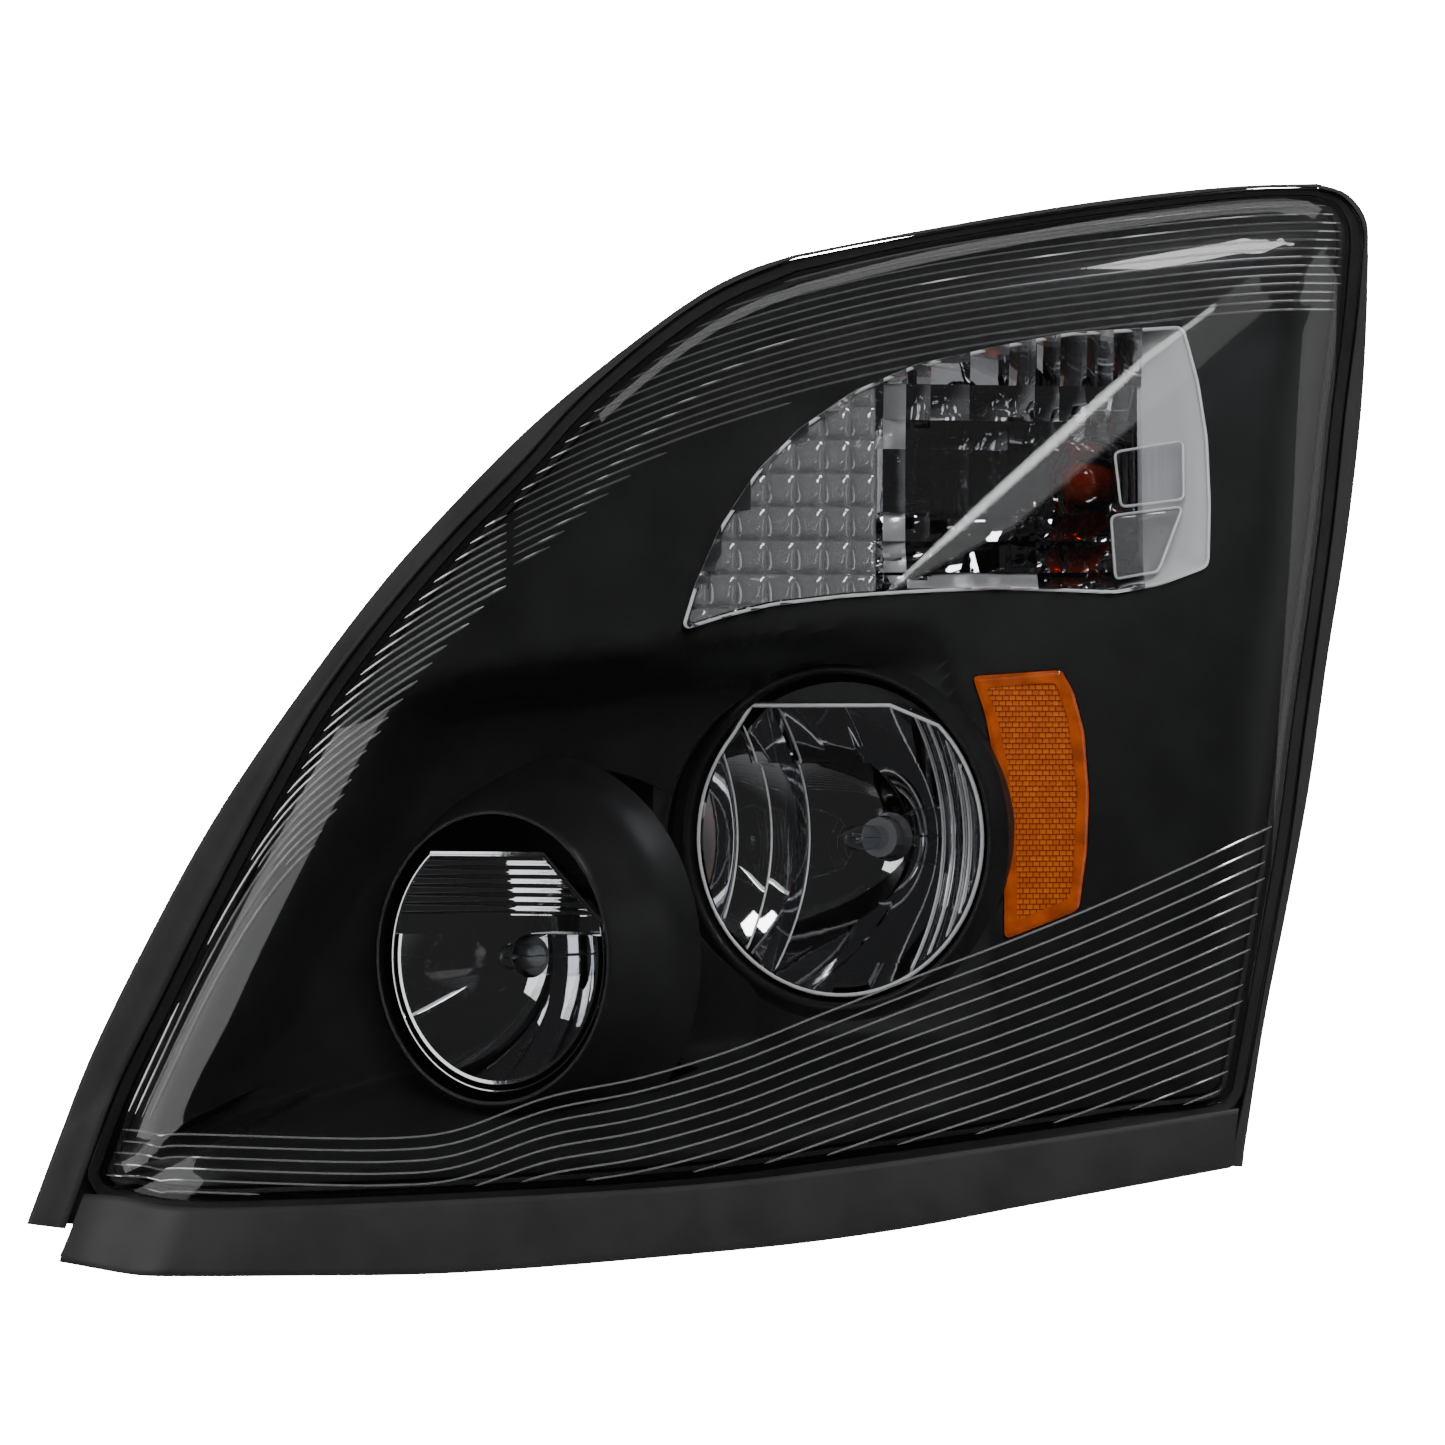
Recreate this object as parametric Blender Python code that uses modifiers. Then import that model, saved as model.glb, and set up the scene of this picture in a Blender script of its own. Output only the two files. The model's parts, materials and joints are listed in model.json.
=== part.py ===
"""Wrap-around truck headlamp, driver's side, as the separate pieces that it is made of.

X is outboard, Y rearwards and Z up, with the origin at the centre of the rear locating pad. Dimensions
are in millimetres and turned into metres by MM. The lens and its edge are drawn as outlines in XZ,
with their depth in Y from lens_depth(). The lamps point SWEEP away from -Y, towards inboard.
"""

import math

import bmesh
import bpy
from mathutils import Matrix, Vector

MM = 0.001
GAP = 0.4  # between pieces that touch on the real lamp
PARTS = "truck_headlamp"
CUTTERS = "cutters"
REAR = Vector((0.0, 1.0, 0.0))

# Lens surface and shell
LENS_APEX = -205.0
LENS_BOW_X = 0.0006
LENS_BOW_Z = 0.0004
LENS_LOW_Z = -180.0
LENS_MID_X = -10.0
LOW_CORNER = (-245.0, -292.0)  # where the lower inboard corner rolls back
LOW_CORNER_ROLL = 17.0
LENS_WALL = 3.0
SKIRT_DEPTH = 14.0
SHOULDER = 35.0
CENTRE = Vector((30.0, -60.0))

# Housing
BACK_WALL = -60.0
HOUSING_WALL = 3.0
WRAP_START = 140.0
WRAP_BOW = 0.0012
WALL_INSET = 14.0
FOOT_INSET = 8.4
CHANNEL_FLOOR = 17.0
CHANNEL_FRONT = 6.0
CHANNEL_RIM = 5.5
CHANNEL_SLIM = 2.1  # less rim along the top and round the upper corner
CHANNEL_INNER = 3.4
CHANNEL_LIP = 2.0
CHANNEL_LIP_FRONT = 8.0
FLANGE_FACE = 12.0
FLANGE_THICKNESS = 3.0
FLANGE_BACK_OFF = 2.0
OVERLAP = 1.5  # of joined pieces into the wall that they stand on
PAD_PLANE = 0.0
REAR_PAD_RADIUS = 16.0
CORNER_PAD_RADII = (14.0, 12.0)  # at the wall and at the pad plane
PADS = {"rear_pad": (0.0, 0.0), "upper_outboard_pad": (265.0, 215.0), "upper_inboard_pad": (-60.0, 92.0),
        "lower_inboard_pad": (-235.0, -195.0), "lower_outboard_pad": (212.0, -150.0)}
STUD_RADIUS = 4.0
STUD_PLAY = 0.3
SCREW_PAD = 4.0
SCREW_PAD_RADIUS = 6.5
SCREW_HOLE = 2.4
SCREW_BORE = 1.9
ADJUSTER_HOLE = 11.4
PIVOT_HOLE = 4.0
VENT_HOLE = 5.4
BOSSES = [(-215.0, -165.0), (-30.0, 125.0), (262.0, 120.0), (226.0, -95.0)]
CONNECTOR = Vector((60.0, 0.0, 75.0))
CONNECTOR_HALF = Vector((16.0, 0.0, 11.0))
VENT = Vector((110.0, 0.0, 70.0))

# Strip and bar round the lens
GASKET_FRONT = 3.0
GASKET_BACK = 9.5
GASKET_FALL = 1.5
GASKET_END_LIFT = 5.0
GASKET_LOW_END = ((-308.0, -243.8), (-326.6, -241.6))
GASKET_HIGH_END = ((250.8, -213.0), (258.0, -213.5))
TRIM_WALL = 2.5
TRIM_RETURN = 18.0
TRIM_SCREWS = (-200.0, 0.0, 200.0)
TRIM_SCREW_SEAT = 19.8
TRIM_SCREW_BELOW = 9.0
TRIM_PROUD = 2.0

# Bezel
BEZEL_BEHIND_LENS = 16.0
BEZEL_WALL = 3.0
VALLEY_DEEPEST = -118.0
VALLEY_RISE = (10.0, 62.0)
BROW_AT = 36.0
BROW_SLOPE = 0.06
BROW_DROP = 30.0
BROW_RISE = 8.0

# Lamps
SWEEP = math.radians(26.0)
REARWARD = Vector((math.sin(SWEEP), math.cos(SWEEP), 0.0))
SIDEWAYS = Vector((math.cos(SWEEP), -math.sin(SWEEP), 0.0))
UP = Vector((0.0, 0.0, 1.0))
LOW_RIM = Vector((64.5, -137.0, -56.0))
LOW_RADIUS = 74.0
LOW_DEPTH = 52.0
LOW_FLAT = 64.0
HIGH_RIM = Vector((-102.0, -161.0, -113.0))
HIGH_RADIUS = 64.0
HIGH_DEPTH = 41.0
HIGH_FLAT = 49.0
HIGH_SQUEEZE = 0.89
BOWL_WALL = 2.0
LOW_OPENING = 80.0
LOW_BULB_SEAT = 54.6
HIGH_SET_BACK = 6.0
HIGH_FLANGE = 56.0
BULB_HOLE = 10.5
BULB_PLAY = 0.8
BULB_NECK = 9.0
HOOD_RADIUS = 68.5
HOOD_FLARE = 0.28
HOOD_WALL = 2.4
TURN_VERTEX = Vector((190.0, -76.0, 116.0))
TURN_HOLE = 16.0
TURN_SEAT = -33.0
TURN_GLASS = 10.5
TURN_STANDS_PROUD = 1.0
TURN_CURVE = 1.6
TURN_WALL = 2.5
PILLOW_END = 212.0
PILLOW_INSET = 6.0
PILLOW_THICKNESS = 3.0
PILLOW_PROUD = 0.5
PILLOW_COLUMNS = 12
PILLOW_ROWS = 4

# Aiming
PIVOT = Vector((15.0, -90.0, 25.0))
VERTICAL_ARM = 190.0
HORIZONTAL_ARM = 135.0
BALL_RADIUS = 6.0
SOCKET_PLAY = 0.6
VERTICAL_BALL = PIVOT - UP * VERTICAL_ARM
HORIZONTAL_BALL = PIVOT - Vector((HORIZONTAL_ARM, 0.0, 0.0))
SOCKET_RADIUS = 9.8
CARRIER_FRONT = -84.0
CARRIER_BACK = -80.0
MOUNTINGS = [("low", LOW_RIM, 70.0, 18.0, 42.0), ("high", HIGH_RIM, 39.0, HIGH_FLANGE, 34.0)]

# Service caps
CAP_SEAT = -30.0
COLLAR_RADIUS = 35.0
COLLAR_WALL = 3.0
CAP_RADIUS = 38.0
CAP_PLAY = 0.8
CAP_SKIRT = 9.0
CAP_TOP = 3.9
CAP_CHAMFER = 1.5
SEAL_SPACE = 3.4
SERVICE_COLLARS = [("low", LOW_RIM, COLLAR_RADIUS, COLLAR_RADIUS - COLLAR_WALL, CAP_SEAT),
                   ("high", HIGH_RIM, COLLAR_RADIUS, COLLAR_RADIUS - COLLAR_WALL, CAP_SEAT),
                   ("turn", TURN_VERTEX, 19.0, 16.0, TURN_SEAT)]

# Edge curves in XZ, each run from its first corner to its last
LENS_RUNS = {
    "inboard": [(-292, -217), (-277, -178), (-255, -134), (-234, -92), (-204, -35), (-182, 4),
                (-152, 45), (-117, 86), (-83, 121), (-57, 150), (-18, 184), (10, 203), (44, 218)],
    "top": [(44, 218), (100, 231), (160, 242), (220, 251), (270, 257), (297, 258)],
    "corner": [(297, 258), (309, 254), (315, 245), (316, 234)],
    "outboard": [(316, 234), (312, 198), (305, 150), (298, 94), (284, 4), (276, -52), (268, -96),
                 (260, -139), (253, -176)],
    "bottom": [(253, -176), (248, -182), (200, -189), (150, -196), (70, -207), (0, -216),
               (-122, -224), (-207, -228), (-238, -229), (-262, -228), (-279, -225),
               (-288, -224), (-292, -217)],
}
SEAL_RUNS = {
    "inboard": [(-326, -242), (-311, -200), (-296, -162), (-268, -105), (-236, -47), (-197, 11),
                (-154, 68), (-119, 107), (-81, 145), (-35, 183), (0, 208), (22, 219), (43, 226)],
    "top": [(43, 226), (108, 239), (194, 254), (260, 262), (300, 264)],
    "corner": [(300, 264), (315, 259), (324, 247), (325, 228)],
    "outboard": [(325, 228), (323, 190), (319, 145), (311, 87), (301, 30), (292, -28), (281, -85),
                 (269, -143), (258, -211)],
}
TRIM_TOP = [(-299, -227), (-279, -228), (-262, -231), (-238, -232), (-207, -231), (-122, -227),
            (0, -219), (70, -211), (150, -200), (200, -193), (248, -186)]
TRIM_BOTTOM = [(-311, -260), (-291, -263), (-272, -265), (-253, -265), (-200, -264), (-122, -262),
               (0, -252), (50, -247), (100, -240), (150, -231), (246, -214)]
TURN_OUTLINE = [(-11, 44), (-5, 64), (8, 94), (25, 120), (46, 141), (72, 159), (102, 172), (141, 181),
                (176, 188), (232, 192), (239, 165), (243, 137), (244, 106), (243, 75), (219, 66),
                (197, 62), (141, 64), (98, 62), (68, 60), (33, 56), (12, 51)]
TURN_TOP_CORNER = 9  # in TURN_OUTLINE, where the top meets the outboard side
TURN_LOW_CORNER = 14  # where the outboard side meets the bottom
REFLEX_OUTLINE = [(128, 22), (171, 25), (177, 14), (182, -5), (184, -35), (183, -61), (179, -90),
                  (143, -104), (143, -74), (142, -48), (139, -22), (134, 4)]
CARRIER_OUTLINE = [(-132, 11), (-132, 34), (-126, 40), (60, 40), (104, 26), (150, 0), (170, -60),
                   (168, -112), (110, -140), (60, -150), (32, -181), (-2, -181), (-40, -168),
                   (-112, -150), (-122, -70)]
SIDE_PRISM = [(197, 131), (232, 137), (232, 107), (200, 103)]
SIDE_BLOCK = [(195, 100), (232, 105), (219, 72), (197, 68)]

COLOURS = {
    "black_housing": ((0.02, 0.02, 0.022), 0.55, 0.0),
    "black_bezel": ((0.008, 0.008, 0.009), 0.28, 0.0),
    "clear_lens": ((0.9, 0.93, 0.95), 0.03, 0.0),
    "black_rubber": ((0.03, 0.03, 0.03), 0.8, 0.0),
    "black_trim": ((0.035, 0.035, 0.037), 0.6, 0.0),
    "sealant": ((0.015, 0.015, 0.015), 0.7, 0.0),
    "chrome": ((0.8, 0.8, 0.82), 0.06, 1.0),
    "amber": ((0.85, 0.3, 0.02), 0.15, 0.0),
    "bulb_glass": ((0.85, 0.88, 0.95), 0.02, 0.0),
    "clear_optic": ((0.85, 0.87, 0.88), 0.05, 0.0),
    "grey_plastic": ((0.25, 0.25, 0.26), 0.5, 0.0),
    "white_nylon": ((0.75, 0.74, 0.7), 0.4, 0.0),
    "zinc_steel": ((0.6, 0.6, 0.58), 0.3, 1.0),
    "orange_silicone": ((0.7, 0.2, 0.05), 0.6, 0.0),
}


def clear_scene():
    for obj in list(bpy.data.objects):
        bpy.data.objects.remove(obj)


def collection(name):
    made = bpy.data.collections.new(name)
    bpy.context.scene.collection.children.link(made)


def material(name):
    """The named material, made once from COLOURS."""
    found = bpy.data.materials.get(name)
    if found:
        return found
    colour, roughness, metallic = COLOURS[name]
    made = bpy.data.materials.new(name)
    made.use_nodes = True
    shader = made.node_tree.nodes["Principled BSDF"]
    shader.inputs["Base Color"].default_value = (*colour, 1.0)
    shader.inputs["Roughness"].default_value = roughness
    shader.inputs["Metallic"].default_value = metallic
    return made


# Curves and depths ---------------------------------------------------------------------------


def spline(points, step, count=None):
    """Points about step apart on a smooth curve through the given ones, or count equal steps of it."""
    through = [Vector(p) for p in points]
    ends = [2 * through[0] - through[1], *through, 2 * through[-1] - through[-2]]
    dense = []
    for p0, p1, p2, p3 in zip(ends, ends[1:], ends[2:], ends[3:]):
        t1 = (p1 - p0).length ** 0.5
        t2 = t1 + (p2 - p1).length ** 0.5
        t3 = t2 + (p3 - p2).length ** 0.5
        for k in range(12):
            t = t1 + (t2 - t1) * k / 12
            a1 = p0 * (t1 - t) / t1 + p1 * t / t1
            a2 = p1 * (t2 - t) / (t2 - t1) + p2 * (t - t1) / (t2 - t1)
            a3 = p2 * (t3 - t) / (t3 - t2) + p3 * (t - t2) / (t3 - t2)
            b1 = a1 * (t2 - t) / t2 + a2 * t / t2
            b2 = a2 * (t3 - t) / (t3 - t1) + a3 * (t - t1) / (t3 - t1)
            dense.append(b1 * (t2 - t) / (t2 - t1) + b2 * (t - t1) / (t2 - t1))
    dense.append(through[-1])
    lengths = [0.0]
    for a, b in zip(dense, dense[1:]):
        lengths.append(lengths[-1] + (b - a).length)
    count = count or max(1, round(lengths[-1] / step))
    made, i = [], 0
    for k in range(count + 1):
        at = lengths[-1] * k / count
        while i < len(dense) - 2 and lengths[i + 1] < at:
            i += 1
        share = (at - lengths[i]) / max(lengths[i + 1] - lengths[i], 1e-9)
        made.append(dense[i].lerp(dense[i + 1], min(1.0, share)))
    return made


def smoothstep(low, high, value):
    t = min(1.0, max(0.0, (value - low) / (high - low)))
    return t * t * (3 - 2 * t)


def lens_depth(x, z):
    """Y of the bowed lens surface, without its rolled shoulder."""
    rise = max(0.0, z - LENS_LOW_Z)
    return LENS_APEX + LENS_BOW_X * (x - LENS_MID_X) ** 2 + LENS_BOW_Z * rise**2


def shoulder_drop(run, x, share):
    """How far the lens edge rolls back below its bowed surface, along a run of the outline."""
    if run == "inboard":
        return 19.0
    if run == "top":
        return 19.0 - 7.0 * share
    if run == "corner":
        return 12.0 - share
    if run == "outboard":
        return 11.0 - 6.0 * share
    return 5.0 - 3.0 * smoothstep(0.0, 0.15, share) + LOW_CORNER_ROLL * smoothstep(*LOW_CORNER, x)


class Edge:
    """The lens outline as matched samples: point, normal, shoulder drop, channel rim and seal edge."""

    STEP = 42.0

    def __init__(self):
        self.points, self.drops, self.outer, self.rims, self.runs = [], [], [], [], {}
        for run, through in LENS_RUNS.items():
            samples = spline(through, self.STEP, 4 if run == "corner" else None)
            count = len(samples) - 1
            seal = spline(SEAL_RUNS[run], 0, count) if run in SEAL_RUNS else None
            self.runs[run] = (len(self.points), count)
            for k in range(count):
                share = k / count
                self.points.append(samples[k])
                self.drops.append(shoulder_drop(run, samples[k].x, share))
                slim = smoothstep(0.0, 0.3, share) if run == "top" else 1.0 - share
                self.rims.append(CHANNEL_RIM - CHANNEL_SLIM * slim * (run in ("top", "corner")))
                self.outer.append(seal[k] if seal else samples[k] + Vector((0.0, -22.0)))
        n = len(self.points)
        self.normals = []
        for i in range(n):
            along = self.points[(i + 1) % n] - self.points[i - 1]
            self.normals.append(Vector((-along.y, along.x)).normalized())

    def moved(self, i, outward):
        """Sample i moved outward, along its ray from the centre so that rings never cross."""
        ray = (self.points[i] - CENTRE).normalized()
        return self.points[i] + ray * outward / max(0.45, ray.dot(self.normals[i]))

    def scaled(self, i, inset, share):
        """A point that share of the way from the centre to sample i's inset point."""
        return CENTRE.lerp(self.moved(i, -inset), share)

    def edge_y(self, i):
        at = self.points[i]
        return lens_depth(at.x, at.y) + self.drops[i]

    def surface_y(self, i, at, inset):
        """Y of the lens at a point inset from sample i, with the rolled shoulder."""
        roll = max(0.0, 1.0 - inset / SHOULDER) ** 2
        return lens_depth(at.x, at.y) + self.drops[i] * roll


# Mesh helpers ---------------------------------------------------------------------------------


def add_object(name, mesh, slot, place=PARTS):
    obj = bpy.data.objects.new(name, mesh)
    bpy.data.collections[place].objects.link(obj)
    if place == CUTTERS:
        obj.hide_render = True
        obj.display_type = "WIRE"
    if slot:
        mesh.materials.append(material(slot))
    return obj


def finish_mesh(bm, name):
    """A closed mesh in metres, from a bmesh in millimetres, with its faces pointing out."""
    bmesh.ops.remove_doubles(bm, verts=bm.verts, dist=1e-4)
    bmesh.ops.recalc_face_normals(bm, faces=bm.faces)
    bmesh.ops.scale(bm, vec=Vector((MM, MM, MM)), verts=bm.verts)
    mesh = bpy.data.meshes.new(name)
    bm.to_mesh(mesh)
    bm.free()
    mesh.shade_smooth()
    mesh.set_sharp_from_angle(angle=math.radians(35))
    return mesh


def evaluated_bmesh(obj):
    """The object's evaluated mesh as a bmesh, and the object removed."""
    bpy.context.scene.collection.objects.link(obj)
    bpy.context.view_layer.update()
    source = obj.evaluated_get(bpy.context.evaluated_depsgraph_get())
    mesh = bpy.data.meshes.new_from_object(source)
    bpy.data.objects.remove(obj)
    bm = bmesh.new()
    bm.from_mesh(mesh)
    return bm


def loft(name, rings, slot, closed_ends=True, place=PARTS):
    """A solid through rings of equally many points. Ends are capped, or the last ring meets the first.

    Each four-sided face is split across its shorter diagonal, so that the two sides of a thin wall match.
    """
    bm = bmesh.new()
    rows = [[bm.verts.new(p) for p in ring] for ring in rings]
    count = len(rows[0])
    pairs = list(zip(rows, rows[1:]))
    if not closed_ends:
        pairs.append((rows[-1], rows[0]))
    for one, two in pairs:
        for k in range(count):
            m = (k + 1) % count
            bm.faces.new((one[k], one[m], two[m], two[k]))
    if closed_ends:
        for row in (rows[0], rows[-1]):
            middle = bm.verts.new(sum((v.co for v in row), Vector()) / count)
            for k in range(count):
                bm.faces.new((row[k], row[(k + 1) % count], middle))
    bmesh.ops.triangulate(bm, faces=bm.faces, quad_method="SHORT_EDGE")
    return add_object(name, finish_mesh(bm, name), slot, place)


def place_on_axis(obj, at, axis):
    """Puts the object's +Z along axis and its +X sideways, with its origin at a point in mm."""
    side = Vector(axis).cross(UP)
    third = Vector(axis).cross(side)
    turn = Matrix((side, third, Vector(axis))).transposed()
    obj.matrix_world = Matrix.Translation(Vector(at) * MM) @ turn.to_4x4()
    return obj


def turned(name, profile, slot, at, axis=REARWARD, sides=28, squeeze=1.0, place=PARTS):
    """A turned solid: (radius, distance along axis) points of a closed profile, about axis from at."""
    rough = bpy.data.meshes.new(name)
    count = len(profile)
    edges = [(k, (k + 1) % count) for k in range(count)]
    if profile[0][0] == 0 and profile[-1][0] == 0:
        edges.pop()
    rough.from_pydata([(r, 0, h) for r, h in profile], edges, [])
    lathe = bpy.data.objects.new(name + "_profile", rough)
    screw = lathe.modifiers.new("turn", "SCREW")
    screw.steps = sides
    screw.render_steps = sides
    screw.use_merge_vertices = True
    screw.merge_threshold = 1e-4
    bm = evaluated_bmesh(lathe)
    bmesh.ops.scale(bm, vec=Vector((squeeze, 1.0, 1.0)), verts=bm.verts)
    obj = add_object(name, finish_mesh(bm, name), slot, place)
    return place_on_axis(obj, at, axis)


def rod(name, radius, start, end, at, slot=None, axis=REARWARD, sides=24, place=CUTTERS):
    """A plain cylinder along axis, from start to end beyond at."""
    profile = [(0, start), (radius, start), (radius, end), (0, end)]
    return turned(name, profile, slot, at, axis, sides, place=place)


def outline_bmesh(name, outline):
    """A flat outline as a filled curve, with its thickness from Z = -1 to Z = 1."""
    curve = bpy.data.curves.new(name, "CURVE")
    curve.dimensions = "2D"
    curve.fill_mode = "BOTH"
    curve.extrude = 1.0
    path = curve.splines.new("POLY")
    path.points.add(len(outline) - 1)
    path.use_cyclic_u = True
    for point, (x, y) in zip(path.points, outline):
        point.co = (x, y, 0.0, 1.0)
    return evaluated_bmesh(bpy.data.objects.new(name + "_outline", curve))


def prism(name, outline, front, back, slot=None, place=CUTTERS):
    """An outline in XZ, run from Y front to Y back. Each may be a number or a function of x and z."""
    bm = outline_bmesh(name, outline)
    for v in bm.verts:
        depth = back if v.co.z > 0 else front
        y = depth(v.co.x, v.co.y) if callable(depth) else depth
        v.co = Vector((v.co.x, y, v.co.y))
    return add_object(name, finish_mesh(bm, name), slot, place)


def lamp_prism(name, outline, start, end, at, slot=None, place=CUTTERS):
    """An outline in (sideways, up), run along REARWARD from start to end beyond at."""
    bm = outline_bmesh(name, [(s, -u) for s, u in outline])
    for v in bm.verts:
        v.co.z = end if v.co.z > 0 else start
    obj = add_object(name, finish_mesh(bm, name), slot, place)
    return place_on_axis(obj, at, REARWARD)


def block(name, low, high, slot=None, place=CUTTERS):
    bm = bmesh.new()
    bmesh.ops.create_cube(bm, size=1.0)
    size = Vector(high) - Vector(low)
    for v in bm.verts:
        v.co = Vector(low) + Vector((c + 0.5) * s for c, s in zip(v.co, size))
    return add_object(name, finish_mesh(bm, name), slot, place)


def combine(obj, other, operation):
    """A Boolean with a helper object from the cutters."""
    step = obj.modifiers.new(f"{operation.lower()}_{other.name}"[:60], "BOOLEAN")
    step.operation = operation
    step.object = other
    step.solver = "EXACT"


def scaled_outline(outline, grow):
    """A closed outline moved outward by grow, square to its sides."""
    points = [Vector(p) for p in outline]
    area = sum(a.x * b.y - b.x * a.y for a, b in zip(points, points[1:] + points[:1]))
    sign = 1.0 if area < 0 else -1.0
    made = []
    for k, p in enumerate(points):
        before = (p - points[k - 1]).normalized()
        after = (points[(k + 1) % len(points)] - p).normalized()
        n1 = Vector((-before.y, before.x)) * sign
        n2 = Vector((-after.y, after.x)) * sign
        bisector = (n1 + n2).normalized()
        made.append(p + bisector * grow / max(0.5, bisector.dot(n1)))
    return made


def flared(name, rim, radius, flare, squeeze, start, wall_y, sides=28):
    """A cone along REARWARD from a square end at start to an end cut off flat at Y = wall_y."""
    rings = [[], []]
    for k in range(sides):
        angle = math.tau * k / sides
        spoke = SIDEWAYS * math.cos(angle) * squeeze + UP * math.sin(angle)
        rings[0].append(rim + REARWARD * start + spoke * (radius + flare * start))
        reach = (wall_y - rim.y - spoke.y * radius) / (REARWARD.y + spoke.y * flare)
        rings[1].append(rim + REARWARD * reach + spoke * (radius + flare * reach))
    return loft(name, rings, None, place=CUTTERS)


def along_axis(rim, distance):
    return rim + REARWARD * distance


def reach_to(rim, y):
    """How far along REARWARD from rim the plane Y = y lies."""
    return (y - rim.y) / REARWARD.y


# Shell ----------------------------------------------------------------------------------------


def ring(edge, inset, depth):
    """A ring inset from the lens edge, with Y from depth(sample, point)."""
    made = []
    for i in range(len(edge.points)):
        p = edge.moved(i, -inset)
        made.append(Vector((p.x, depth(i, p), p.y)))
    return made


def inner_ring(edge, inset, share, depth):
    """A ring at that share of the way out from the centre to the ring at inset."""
    made = []
    for i in range(len(edge.points)):
        p = edge.scaled(i, inset, share)
        made.append(Vector((p.x, depth(i, p), p.y)))
    return made


def behind_edge(edge, distance):
    """A depth that stays that far behind the lens edge."""
    return lambda i, p: edge.edge_y(i) + distance


def back_y(x):
    """The outside of the housing's rear wall, which comes back with the wrap-around end."""
    return BACK_WALL + WRAP_BOW * max(0.0, x - WRAP_START) ** 2


def front_lens(edge):
    def skin(behind):
        middle = [inner_ring(edge, SHOULDER, share, lambda i, p: lens_depth(p.x, p.y) + behind)
                  for share in (0.06, 0.35, 0.68)]
        first = LENS_WALL if behind else 0.0
        shoulder = [ring(edge, inset, lambda i, p, inset=inset: edge.surface_y(i, p, inset) + behind)
                    for inset in (SHOULDER, 22.0, 12.0, 6.0, first)]
        return middle + shoulder

    skirt = [ring(edge, inset, behind_edge(edge, SKIRT_DEPTH)) for inset in (0.0, LENS_WALL)]
    loft("front_lens", skin(0.0) + skirt + skin(LENS_WALL)[::-1], "clear_lens")


def lens_seal_bead(edge):
    corners = [(0.0, SKIRT_DEPTH + GAP), (0.0, CHANNEL_FLOOR - GAP),
               (LENS_WALL, CHANNEL_FLOOR - GAP), (LENS_WALL, SKIRT_DEPTH + GAP)]
    rings = [ring(edge, inset, behind_edge(edge, depth)) for inset, depth in corners]
    loft("lens_seal_bead", rings, "sealant", closed_ends=False)


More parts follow.
